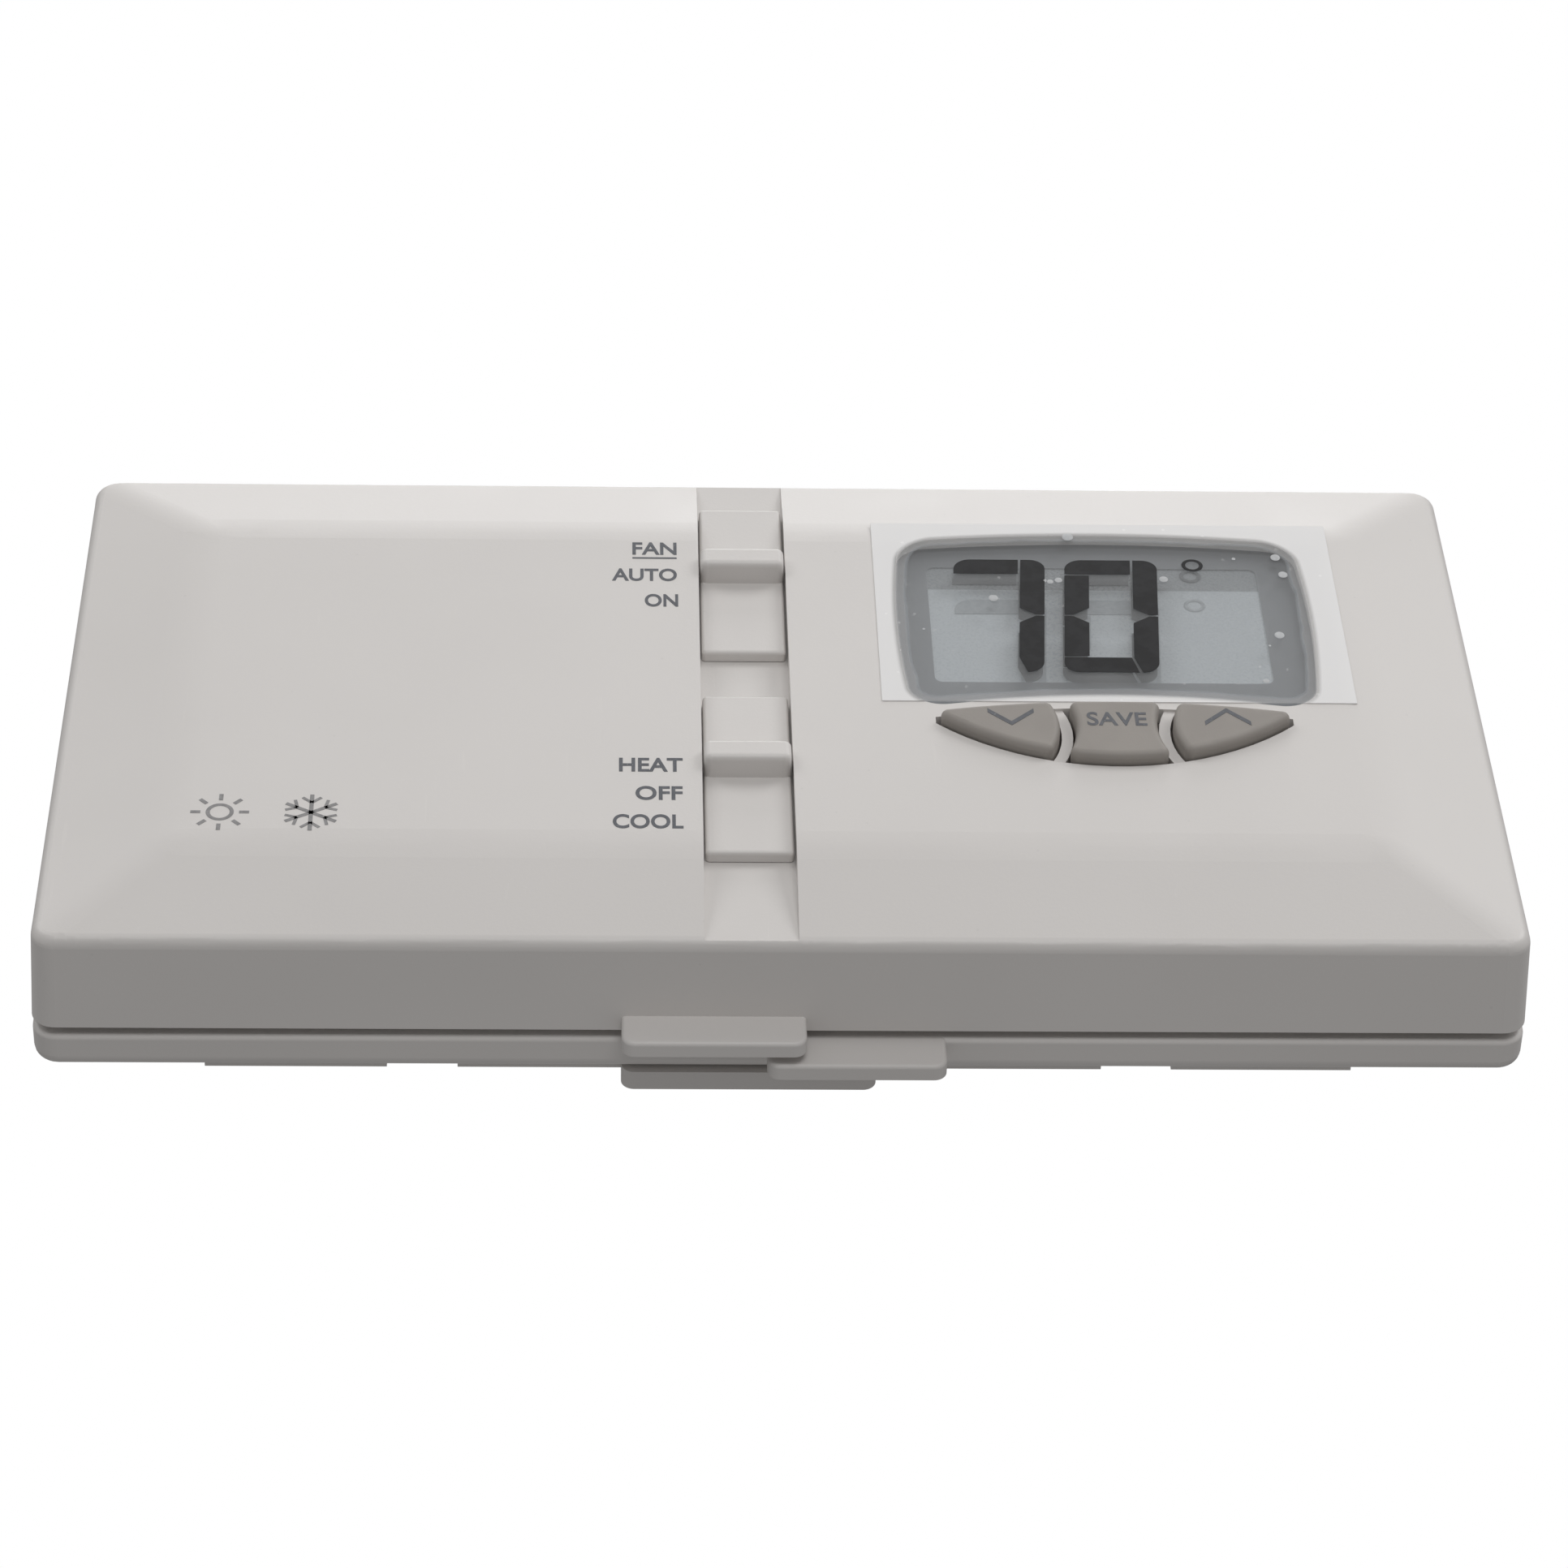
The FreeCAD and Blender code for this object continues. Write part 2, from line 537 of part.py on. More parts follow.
def round_edges(body, name, radius, chosen):
    """Fillet those edges of a body for which the test says yes."""
    last = body.Tip
    names = [f"Edge{index}" for index, edge in enumerate(last.Shape.Edges, start=1) if chosen(edge)]
    feature = body.newObject("PartDesign::Fillet", name)
    feature.Base = (last, names)
    bind(feature, Radius=radius)
    doc.recompute()
    return feature


def fillet(name, base, radius, chosen):
    """Round those edges of a boolean's result for which the test says yes."""
    doc.recompute()
    rounded = doc.addObject("Part::Fillet", name)
    rounded.Base = base
    size = value(radius)
    rounded.Edges = [(index, size, size) for index, edge in enumerate(base.Shape.Edges, start=1)
                     if chosen(edge)]
    return rounded


def at_depth(edge, depth):
    """Whether all of an edge lies at one depth from the wall."""
    return all(abs(-corner.Y - depth) < 0.02 for corner in edge.Vertexes)


def along_depth(edge):
    """Whether an edge runs straight from one depth to another."""
    bounds = edge.BoundBox
    return bounds.YLength > 0.5 and bounds.XLength < 0.02 and bounds.ZLength < 0.02


def case_outline(inset, growth):
    """The case's rounded rectangle, less an inset, plus its draft's growth."""
    half_x = f"case_width / 2 + {growth} - ({inset})"
    half_z = f"case_height / 2 + {growth} - ({inset})"
    return rounded_rectangle((f"-({half_x})", half_x), (f"-({half_z})", half_z), "corner_radius")


def face_outline(radius):
    """The flat middle of the front face."""
    half_x = "case_width / 2 - face_inset_x"
    half_z = "case_height / 2 - face_inset_z"
    return rounded_rectangle((f"-({half_x})", half_x), (f"-({half_z})", half_z), radius)


# ---- wall plate ------------------------------------------------------------------------------

def make_wall_plate():
    """Flat plate with a recessed back, wire opening, two screw slots, two hooks and a tab."""
    body = doc.addObject("PartDesign::Body", "wall_plate_body")
    pad(body, "plate", ("0", "plate_front"), case_outline("plate_inset", "draft"))
    inner = case_outline("plate_inset + plate_border", "draft")
    pocket(body, "back_recess", ("0", "plate_recess"), inner)
    round_edges(body, "plate_edge", "plate_round", lambda edge: at_depth(edge, value("plate_front")))
    pads = [rod(f"screw_pad_{side}", "pad_radius", f"{sign}screw_pitch / 2", "0", ("0", "plate_front"))
            for side, sign in (("left", "-"), ("right", ""))]
    collar = box("wire_collar", ("wire_left - wire_collar", "wire_right + wire_collar"),
                 ("0", "plate_front"), ("-wire_half_height - wire_collar", "wire_half_height + wire_collar"))
    half = "(case_width / 2 - stiffener_inset)"
    ribs = [box(f"plate_rib_{edge}", (f"-{half}", half), ("off_wall", "plate_front"),
                (f"{sign}stiffener_z - stiffener_half", f"{sign}stiffener_z + stiffener_half"))
            for edge, sign in (("lower", "-"), ("upper", ""))]
    block_bed = box("block_bed", ("block_left", "block_right"), ("off_wall", "plate_front"),
                    ("block_low", "block_high"))
    top_bed = box("top_bed", (f"-{half}", half), ("0", "plate_front"), ("top_bed_low", "top_bed_high"))
    solid = fuse("plate_solid", [body, block_bed, top_bed, collar, *pads, *ribs, *make_hooks(),
                                 make_plate_tab()])
    openings = [box("wire_opening", ("wire_left", "wire_right"), ("-overshoot", "plate_front + overshoot"),
                    ("-wire_half_height", "wire_half_height"))]
    openings += screw_slots() + edge_notches()
    openings.append(box("top_step", ("-case_width", "case_width"),
                        ("top_step_front", "plate_front + overshoot"),
                        ("hook_height - top_step_drop", "case_height")))
    node(cut("wall_plate", solid, openings), "wall_plate")


def make_hooks():
    """Two hooks at the top, each a post through the rear case with a lip that points up."""
    hooks = []
    for side, sign in (("left", -1), ("right", 1)):
        middle = f"{sign} * hook_x"
        span = (f"{middle} - hook_width / 2", f"{middle} + hook_width / 2")
        top = "hook_height - hook_play"
        front = ("case_floor + hook_gap", "case_floor + hook_gap + hook_step")
        hooks.append(box(f"hook_post_{side}", span, ("off_wall", front[1]), (f"{top} - hook_step", top)))
        hooks.append(box(f"hook_lip_{side}", span, front, (f"{top} - hook_step", "hook_height + hook_rise")))
    return hooks


def make_plate_tab():
    """Rounded finger tab at the bottom of the wall plate."""
    body = doc.addObject("PartDesign::Body", "plate_tab_body")
    reach = "case_height / 2 + draft"
    outline = rounded_rectangle(("tab_left", "plate_tab_right"), (f"-({reach})", "-plate_tab_root"),
                                "tab_corner")
    pad(body, "plate_tab", ("0", "plate_front"), outline)
    return body


def screw_slots():
    """Two slots along X for the wall screws."""
    slots = []
    reach = "(screw_slot / 2 - screw_hole_radius)"
    through = ("-overshoot", "plate_front + overshoot")
    for side, sign in (("left", -1), ("right", 1)):
        middle = f"{sign} * screw_pitch / 2"
        slots.append(box(f"screw_slot_{side}", (f"{middle} - {reach}", f"{middle} + {reach}"), through,
                         ("-screw_hole_radius", "screw_hole_radius")))
        for end, offset in (("inner", f"-{sign}"), ("outer", f"{sign}")):
            slots.append(rod(f"screw_slot_{side}_{end}", "screw_hole_radius",
                             f"{middle} + ({offset}) * {reach}", "0", through))
    return slots


def edge_notches():
    """Notches in the bottom edge, where the rear case's catches pass."""
    notches = []
    edge = "-(case_height / 2 + draft - plate_inset)"
    for side, sign in (("left", -1), ("right", 1)):
        for name in ("catch", "corner"):
            ends = [f"{sign} * {name}_notch_near", f"{sign} * {name}_notch_far"][::sign]
            notches.append(box(f"{name}_notch_{side}", ends, ("-overshoot", "plate_front + overshoot"),
                               (f"{edge} - overshoot", f"{edge} + notch_depth")))
    return notches


def terminals():
    """The x of each terminal."""
    middle = "(block_left + block_right) / 2"
    return [f"{middle} + ({index}) * terminal_pitch" for index in range(-3, 4)]


def make_terminal_block():
    """Black block with a screw pocket, a wire tunnel and a pin socket for each of seven wires."""
    block = box("block_solid", ("block_left", "block_right"), ("plate_front", "block_front"),
                ("block_low", "block_high"))
    hollows = []
    floor = "plate_front + terminal_floor"
    front = "block_front + overshoot"
    for index, x in enumerate(terminals()):
        hollows.append(rod(f"screw_pocket_{index}", "terminal_pocket", x, "terminal_screw_z", (floor, front)))
        hollows.append(box(f"wire_tunnel_{index}", (f"{x} - wire_tunnel_half", f"{x} + wire_tunnel_half"),
                           (floor, f"{floor} + wire_tunnel_depth"),
                           ("terminal_screw_z", "block_high + overshoot")))
        hollows.append(box(f"pin_socket_{index}", (f"{x} - socket_half", f"{x} + socket_half"),
                           ("plate_front + socket_floor", front),
                           ("terminal_pin_z - socket_below", "terminal_pin_z + socket_above")))
    node(cut("terminal_block", block, hollows), "terminal_block")


def make_terminal_metal():
    """A brass clamp plate and a screw in each pocket."""
    clamps = []
    screws = []
    floor = "plate_front + terminal_floor"
    row = "terminal_screw_z"
    for index, x in enumerate(terminals()):
        clamps.append(rod(f"clamp_plate_{index}", "terminal_pocket - clamp_play", x, row,
                          (floor, f"{floor} + clamp_thick")))
        head = rod(f"screw_head_{index}", "terminal_pocket - screw_play", x, row,
                   (f"{floor} + screw_head_back", f"{floor} + screw_head_front"))
        shank = rod(f"screw_shank_{index}", "screw_shank_radius", x, row,
                    (f"{floor} + clamp_thick", f"{floor} + screw_head_back + root / 2"))
        slot = box(f"screw_slot_{index}", (f"{x} - terminal_pocket", f"{x} + terminal_pocket"),
                   (f"{floor} + driver_slot_floor", f"{floor} + screw_head_front + overshoot"),
                   (f"{row} - driver_slot_half", f"{row} + driver_slot_half"))
        screws.append(cut(f"terminal_screw_{index}", fuse(f"screw_body_{index}", [head, shank]), [slot]))
    node(group("terminal_clamps", clamps), "terminal_clamps")
    node(group("terminal_screws", screws), "terminal_screws")


# ---- rear case -------------------------------------------------------------------------------

def make_rear_case():
    """Tray with a rounded outer rim, an inner lip, board posts, battery bay and hinge cheeks."""
    body = doc.addObject("PartDesign::Body", "rear_case_body")
    pad(body, "tray", ("case_back", "rim_front"), case_outline("0", "draft"))
    round_edges(body, "tray_back_edge", "tray_back_round", lambda edge: at_depth(edge, value("case_back")))
    round_edges(body, "tray_front_edge", "tray_front_round", lambda edge: at_depth(edge, value("rim_front")))
    pad(body, "lip", ("case_floor", "lip_front"), case_outline("shell_wall + lip_gap", "draft"))
    hollow = case_outline("shell_wall + lip_gap + lip_wall", "draft")
    pocket(body, "tray_hollow", ("case_floor", "lip_front"), hollow)
    additions = battery_bay_walls() + board_posts() + hinge_cheeks() + [make_case_tab()]
    solid = fuse("rear_case_solid", [body, *additions])
    node(cut("rear_case", solid, case_openings()), "rear_case")


def battery_bay_walls():
    """Four walls round the cells, with a low saddle between them."""
    outer_x = ("bay_left - bay_wall", "bay_right + bay_wall")
    outer_z = ("-bay_half_height - bay_wall", "bay_half_height + bay_wall")
    depth = ("case_floor - root", "battery_axis + bay_rise")
    walls = [box("bay_wall_left", (outer_x[0], "bay_left"), depth, outer_z),
             box("bay_wall_right", ("bay_right", outer_x[1]), depth, outer_z),
             box("bay_wall_bottom", outer_x, depth, (outer_z[0], "-bay_half_height")),
             box("bay_wall_top", outer_x, depth, ("bay_half_height", outer_z[1]))]
    saddle = box("bay_saddle", ("bay_left", "bay_right"), ("case_floor - root", "case_floor + saddle_rise"),
                 ("-saddle_half", "saddle_half"))
    return [*walls, saddle]


def post_places():
    return [(x, z) for x in ("post_left", "post_right") for z in ("-post_height", "post_height")]


def board_posts():
    return [rod(f"board_post_{index}", "post_radius", x, z, ("case_floor - root", "board_back"))
            for index, (x, z) in enumerate(post_places())]


def hinge_cheeks():
    """Blocks beside each hinge arm that hold its stubs."""
    cheeks = []
    for side, sign in (("left", -1), ("right", 1)):
        for edge, near in (("inner", -1), ("outer", 1)):
            low = f"{sign} * hinge_x + ({near}) * (arm_half_width + cheek_offset) - cheek_width / 2"
            cheeks.append(box(f"hinge_cheek_{side}_{edge}", (low, f"{low} + cheek_width"),
                              ("case_floor - root", "rim_front - cheek_sunk"), ("cheek_low", "cheek_high")))
    return cheeks


def make_case_tab():
    """Rounded finger tab under the rear case."""
    body = doc.addObject("PartDesign::Body", "case_tab_body")
    outline = rounded_rectangle(("case_tab_left", "case_tab_right"), ("-tab_reach", "-case_tab_root"),
                                "tab_corner")
    pad(body, "case_tab", ("case_tab_back", "rim_front"), outline)
    round_edges(body, "case_tab_edge", "tab_round", lambda edge: at_depth(edge, value("rim_front")))
    return body


def case_openings():
    """Openings for wires, terminal block, wall screws, hooks, cells and hinge arms."""
    through = ("case_back - overshoot", "case_floor + hair")
    deep = ("case_back - overshoot", "lip_front + overshoot")
    openings = [box("case_wire_opening", ("opening_left", "opening_right"), through,
                    ("opening_low", "opening_high"))]
    openings.append(rod("case_screw_opening", "screw_access", "-screw_pitch / 2", "0", deep))
    for side, sign in (("left", -1), ("right", 1)):
        middle = f"{sign} * hook_x"
        half = "(hook_width / 2 + hook_slot_play)"
        openings.append(box(f"hook_slot_{side}", (f"{middle} - {half}", f"{middle} + {half}"), through,
                            ("hook_height - hook_slot_drop", "hook_height")))
        arm = f"{sign} * hinge_x"
        slot = (f"{arm} - arm_half_width - arm_gap", f"{arm} + arm_half_width + arm_gap")
        openings.append(box(f"hinge_slot_{side}", slot, ("hinge_depth - arm_slot_back", deep[1]),
                            ("arm_slot_low", "case_height")))
        openings.append(bar(f"hinge_bore_{side}", "hinge_pin + hinge_play",
                            (f"{arm} - arm_half_width - bore_length",
                             f"{arm} + arm_half_width + bore_length"),
                            "hinge_depth", "hinge_height"))
    for name, sign in (("upper", 1), ("lower", -1)):
        centre = f"{sign} * battery_offset"
        openings.append(box(f"cell_window_{name}", ("bay_left + window_inset", "bay_right - window_inset"),
                            through, (f"{centre} - window_half", f"{centre} + window_half")))
    openings += [rod(f"post_bore_{index}", "post_bore", x, z, ("case_floor", "board_back + overshoot"))
                 for index, (x, z) in enumerate(post_places())]
    lefts = [f"vent_start + {index} * vent_pitch" for index in range(VENTS)]
    openings += [box(f"vent_{index}", (left, f"{left} + vent_width"), through, ("vent_low", "vent_high"))
                 for index, left in enumerate(lefts)]
    return openings


# ---- cells and their contacts ----------------------------------------------------------------

def make_batteries():
    """Two AA cells that lie head to tail, nub at opposite ends."""
    for name, sign, nub_right in (("upper", 1, True), ("lower", -1, False)):
        height = f"{sign} * battery_offset"
        left = "battery_left" if nub_right else "battery_left + battery_nub"
        right = f"{left} + battery_length"
        can = bar(f"cell_can_{name}", "battery_radius", (left, right), "battery_axis", height)
        nub = (right, f"{right} + battery_nub") if nub_right else ("battery_left", left)
        tip = bar(f"cell_nub_{name}", "nub_radius", nub, "battery_axis", height)
        node(fuse(f"battery_{name}", [can, tip]), f"battery_{name}")


def make_battery_contacts():
    """At each end a flat plate meets one cell's nub and a spring meets the other's base."""
    right_end = "battery_left + battery_length + battery_nub"
    depth = ("battery_axis - contact_reach", "battery_axis + contact_front")
    flat = [box(f"plate_contact_{side}", span, depth,
                (f"{height} - contact_reach", f"{height} + contact_reach"))
            for side, span, height in (("right", (right_end, "bay_right"), "battery_offset"),
                                       ("left", ("bay_left", "battery_left"), "-battery_offset"))]
    node(group("battery_plates", flat), "battery_plates")
    coils = []
    for name, start, end, height in (("left", "bay_left", "battery_left", "battery_offset"),
                                     ("right", f"{right_end}", "bay_right", "-battery_offset")):
        outer = bar(f"spring_outer_{name}", "spring_radius", (start, end), "battery_axis", height)
        inner = bar(f"spring_inner_{name}", "spring_bore", (f"{start} - overshoot", f"{end} + overshoot"),
                    "battery_axis", height)
        coils.append(cut(f"battery_spring_{name}", outer, [inner]))
    node(group("battery_springs", coils), "battery_springs")


# ---- circuit board and what stands on it -----------------------------------------------------

def make_circuit_board():
    board = box("board_solid", ("board_left", "board_right"), ("board_back", "board_front"),
                ("-board_half_height", "board_half_height"))
    depth = ("board_back - overshoot", "board_front + overshoot")
    holes = [rod(f"board_hole_{index}", "board_hole", x, z, depth)
             for index, (x, z) in enumerate(post_places())]
    node(cut("circuit_board", board, holes), "circuit_board")


def make_board_screws():
    """Pan-head screws that hold the board on its posts."""
    screws = []
    for index, (x, z) in enumerate(post_places()):
        front = "board_front + board_screw_rise"
        head = rod(f"board_screw_head_{index}", "board_screw_head", x, z, ("board_front", front))
        shank = rod(f"board_screw_shank_{index}", "board_screw_shank", x, z,
                    ("board_back - board_screw_length", "board_front + root"))
        depth = ("board_front + cross_floor", f"{front} + overshoot")
        slots = [box(f"board_screw_slot_{index}_{turn}", (f"{x} - {wide}", f"{x} + {wide}"), depth,
                     (f"{z} - {tall}", f"{z} + {tall}"))
                 for turn, wide, tall in (("x", "cross_reach", "cross_half"),
                                          ("z", "cross_half", "cross_reach"))]
        screws.append(cut(f"board_screw_{index}", fuse(f"board_screw_body_{index}", [head, shank]), slots))
    node(group("board_screws", screws), "board_screws")


def make_header():
    """Plug on the board's back: a strip with seven square pins that enter the terminal block."""
    half = "pin_size / 2"
    tall = (f"terminal_pin_z - {half}", f"terminal_pin_z + {half}")
    pins = [box(f"plug_pin_{index}", (f"{x} - {half}", f"{x} + {half}"), ("pin_tip", "board_back"), tall)
            for index, x in enumerate(terminals())]
    strip = box("plug_strip_solid", ("block_left + strip_inset", "block_right - strip_inset"),
                ("board_back - strip_thick", "board_back"),
                ("terminal_pin_z - strip_half", "terminal_pin_z + strip_half"))
    holes = [box(f"plug_hole_{index}", (f"{x} - {half}", f"{x} + {half}"),
                 ("board_back - strip_thick - overshoot", "board_back + overshoot"), tall)
             for index, x in enumerate(terminals())]
    node(cut("plug_strip", strip, holes), "plug_strip")
    node(group("plug_pins", pins), "plug_pins")


def make_relays():
    """Three sealed relays along the bottom of the board, for fan, cooling and heating."""
    front = "board_front + relay_height"
    for index, name in enumerate(("fan", "cool", "heat")):
        left = f"relay_start + {index} * relay_pitch"
        body = doc.addObject("PartDesign::Body", f"relay_{name}_body")
        outline = rounded_rectangle((left, f"{left} + relay_width"), ("relay_low", "relay_high"),
                                    "relay_corner")
        pad(body, f"relay_{name}_can", ("board_front", front), outline)
        round_edges(body, f"relay_{name}_edge", "relay_round", lambda edge: at_depth(edge, value(front)))
        node(body, f"relay_{name}")


def make_small_parts():
    """Microcontroller, crystal, capacitors and the bead that senses the room's air."""
    chip = box("chip_can", ("chip_left", "chip_left + chip_size"), ("board_front + chip_lift", "chip_front"),
               ("chip_low", "chip_low + chip_size"))
    leads = []
    depth = ("board_front", "board_front + lead_thick")
    left = ("chip_left - lead_reach", "chip_left + lead_sunk")
    right = ("chip_left + chip_size - lead_sunk", "chip_left + chip_size + lead_reach")
    for index in range(CHIP_LEADS):
        middle = f"chip_low + lead_start + {index} * lead_pitch"
        tall = (f"{middle} - lead_half", f"{middle} + lead_half")
        leads.append(box(f"chip_lead_left_{index}", left, depth, tall))
        leads.append(box(f"chip_lead_right_{index}", right, depth, tall))
    node(fuse("microcontroller", [chip, *leads]), "microcontroller")
    crystal = [rod("crystal_can", "crystal_radius", "crystal_x", "crystal_z",
                   ("board_front", "board_front + crystal_height")),
               rod("crystal_flange", "crystal_flange", "crystal_x", "crystal_z",
                   ("board_front", "board_front + crystal_foot"))]
    node(fuse("crystal", crystal), "crystal")
    cans = [rod(f"capacitor_{index}", "capacitor_radius", "capacitor_x", z,
                ("board_front", "board_front + capacitor_height"))
            for index, z in enumerate(("capacitor_low", "capacitor_low + capacitor_pitch"))]
    node(group("capacitors", cans), "capacitors")
    depth = ("board_front", "board_front + sensor_leg_length")
    legs = [rod(f"thermistor_leg_{index}", "sensor_leg", f"capacitor_x + ({sign}) * sensor_leg_half",
                "sensor_z", depth) for index, sign in enumerate((-1, 1))]
    bead = doc.addObject("Part::Sphere", "thermistor_bead")
    bind(bead, Radius="sensor_bead", x="capacitor_x", depth="board_front + sensor_height", z="sensor_z")
    node(fuse("thermistor", [*legs, bead]), "thermistor")


def make_slide_switch(name, ridge, steps):
    """A slide switch under one slider: a metal can with a slot, and the lever that stands out of it."""
    middle = "(channel_left + channel_right) / 2"
    travel = f"{steps} * switch_step"
    can = box(f"{name}_switch_can", (f"{middle} - switch_half_width", f"{middle} + switch_half_width"),
              ("board_front", "switch_front"),
              (f"{ridge} - {travel} - switch_end", f"{ridge} + switch_end"))
    slot = box(f"{name}_switch_slot",
               (f"{middle} - lever_half_width - lever_play", f"{middle} + lever_half_width + lever_play"),
               ("board_front + switch_floor", "switch_front + overshoot"),
               (f"{ridge} - {travel} - lever_half - lever_play", f"{ridge} + lever_half + lever_play"))
    node(cut(f"{name}_switch", can, [slot]), f"{name}_switch")
    lever = box(f"{name}_switch_lever",
                (f"{middle} - lever_half_width", f"{middle} + lever_half_width"),
                ("board_front + lever_back", "lever_front"),
                (f"{ridge} - lever_half", f"{ridge} + lever_half"))
    node(lever, f"{name}_switch_lever")


# ---- display ---------------------------------------------------------------------------------

def make_display():
    """Glass panel in a frame on the board, and the two rubber strips that connect it."""
    panel_x = ("panel_left", "panel_right")
    panel_z = ("panel_bottom", "panel_top")
    panel_depth = ("panel_front - panel_thick", "panel_front")
    node(box("display_panel", panel_x, panel_depth, panel_z), "display_panel")
    frame = box("frame_block", ("panel_left - frame_wall", "panel_right + frame_wall"),
                ("board_front", "panel_front - frame_sunk"),
                ("panel_bottom - frame_wall", "panel_top + frame_wall"))
    seat = box("frame_seat", ("panel_left - panel_play", "panel_right + panel_play"), panel_depth,
               ("panel_bottom - panel_play", "panel_top + panel_play"))
    well = box("frame_well", ("panel_left + frame_wall", "panel_right - frame_wall"),
               ("board_front - overshoot", "panel_front"),
               ("panel_bottom + frame_ledge", "panel_top - frame_ledge"))
    node(cut("display_frame", frame, [seat, well]), "display_frame")
    depth = ("board_front", "panel_front - panel_thick")
    long = ("panel_left + strip_end", "panel_right - strip_end")
    lower = ("panel_bottom + strip_near", "panel_bottom + strip_far")
    upper = ("panel_top - strip_far", "panel_top - strip_near")
    strips = [box("rubber_strip_lower", long, depth, lower),
              box("rubber_strip_upper", long, depth, upper)]
    node(group("display_connectors", strips), "display_connectors")


def lens_points(grow):
    """The lens outline as four curved sides with round corners, grown by an amount all round."""
    left, right = value("lens_left") - grow, value("lens_right") + grow
    low, high = value("lens_bottom") - grow, value("lens_top") + grow
    middle_x = (left + right) / 2
    side_radius = value("lens_side_radius") + grow
    middle_z = value("lens_side_height")
    top_centre = high - value("lens_top_radius")
    bottom_centre = low - value("lens_bottom_radius")
    top = Part.Circle(FreeCAD.Vector(middle_x, top_centre, 0), FreeCAD.Vector(0, 0, 1), high - top_centre)
    bottom = Part.Circle(FreeCAD.Vector(middle_x, bottom_centre, 0), FreeCAD.Vector(0, 0, 1),
                         low - bottom_centre)
    left_side = Part.Circle(FreeCAD.Vector(left + side_radius, middle_z, 0), FreeCAD.Vector(0, 0, 1),
                            side_radius)
    right_side = Part.Circle(FreeCAD.Vector(right - side_radius, middle_z, 0), FreeCAD.Vector(0, 0, 1),
                             side_radius)
    return top, bottom, left_side, right_side


def lens_prism(name, grow, depth):
    """A plate of the lens's outline between two depths."""
    circles = lens_points(grow)
    faces = [Part.Face(Part.Wire(circle.toShape())) for circle in circles]
    top, bottom, left_side, right_side = faces
    outline = top.common(left_side).common(right_side).cut(bottom)
    near = value(depth[0])
    solid = outline.Faces[0].extrude(FreeCAD.Vector(0, 0, value(depth[1]) - near))
    corners = [edge for edge in solid.Edges if along_z(edge)]
    solid = solid.makeFillet(value("lens_corner") + grow, corners)
    plate = doc.addObject("Part::Feature", name)
    plate.Shape = solid
    plate.Placement = FreeCAD.Placement(FreeCAD.Vector(0, -near, 0), TOWARDS_ROOM)
    return plate


def along_z(edge):
    bounds = edge.BoundBox
    return bounds.XLength < NEAR and bounds.YLength < NEAR


def make_lens():
    """Clear lens, let into the cover from behind on a glued flange."""
    front = lens_prism("lens_front", -value("lens_play"), ("lens_back", "face - lens_sunk"))
    flange = lens_prism("lens_flange", value("lens_flange"), ("lens_back", "flange_front"))
    node(fuse("display_lens", [front, flange]), "display_lens")


def make_film():
    """Protective film that lies on the face over the lens."""
    film = box("protective_film", ("film_left", "film_right"), ("face", "face + film_thick"),
               ("film_bottom", "film_top"))
    node(film, "protective_film")


# ---- keys ------------------------------------------------------------------------------------

def key_area(name, gap, depth):
    """The pointed oval that holds all three keys, less a gap all round."""
    low = rod(f"{name}_low", f"key_low_radius - ({gap})", "key_centre", "key_low + key_low_radius", depth)
    high = rod(f"{name}_high", f"key_high_radius - ({gap})", "key_centre", "key_high - key_high_radius",
               depth)
    half = f"(key_tip - key_tip_gap * ({gap}))"
    ends = box(f"{name}_ends", (f"key_centre - {half}", f"key_centre + {half}"), depth, KEY_FIELD)
    return common(f"{name}_area", [low, high, ends])


def outer_key_shape(name, sign, gap, depth):
    """Left or right key: the part of the oval outside a rib."""
    curve = rod(f"{name}_curve", f"rib_inner - ({gap})", f"key_centre + ({sign}) * rib_offset",
                "rib_height", depth)
    wide = ("key_centre - key_field", "key_centre - rib_offset")
    if sign > 0:
        wide = ("key_centre + rib_offset", "key_centre + key_field")
    reach = box(f"{name}_reach", wide, depth, KEY_FIELD)
    return common(f"{name}_shape", [key_area(name, gap, depth), fuse(f"{name}_side", [curve, reach])])


def middle_key_shape(name, gap, depth):
    """Middle key: the part of the oval between the ribs."""
    ribs = [rod(f"{name}_rib_{side}", f"rib_outer + ({gap})", f"key_centre + ({sign}) * rib_offset",
                "rib_height", (f"{depth[0]} - overshoot", f"{depth[1]} + overshoot"))
            for side, sign in (("left", -1), ("right", 1))]
    span = box(f"{name}_span", ("key_centre - middle_field", "key_centre + middle_field"), depth, KEY_FIELD)
    inside = common(f"{name}_inside", [key_area(name, gap, depth), span])
    return cut(f"{name}_shape", inside, ribs)


def key_shape(name, sign, gap, depth):
    return outer_key_shape(name, sign, gap, depth) if sign else middle_key_shape(name, gap, depth)


def key_post_x(sign):
    return f"key_centre + ({sign}) * key_side_x"


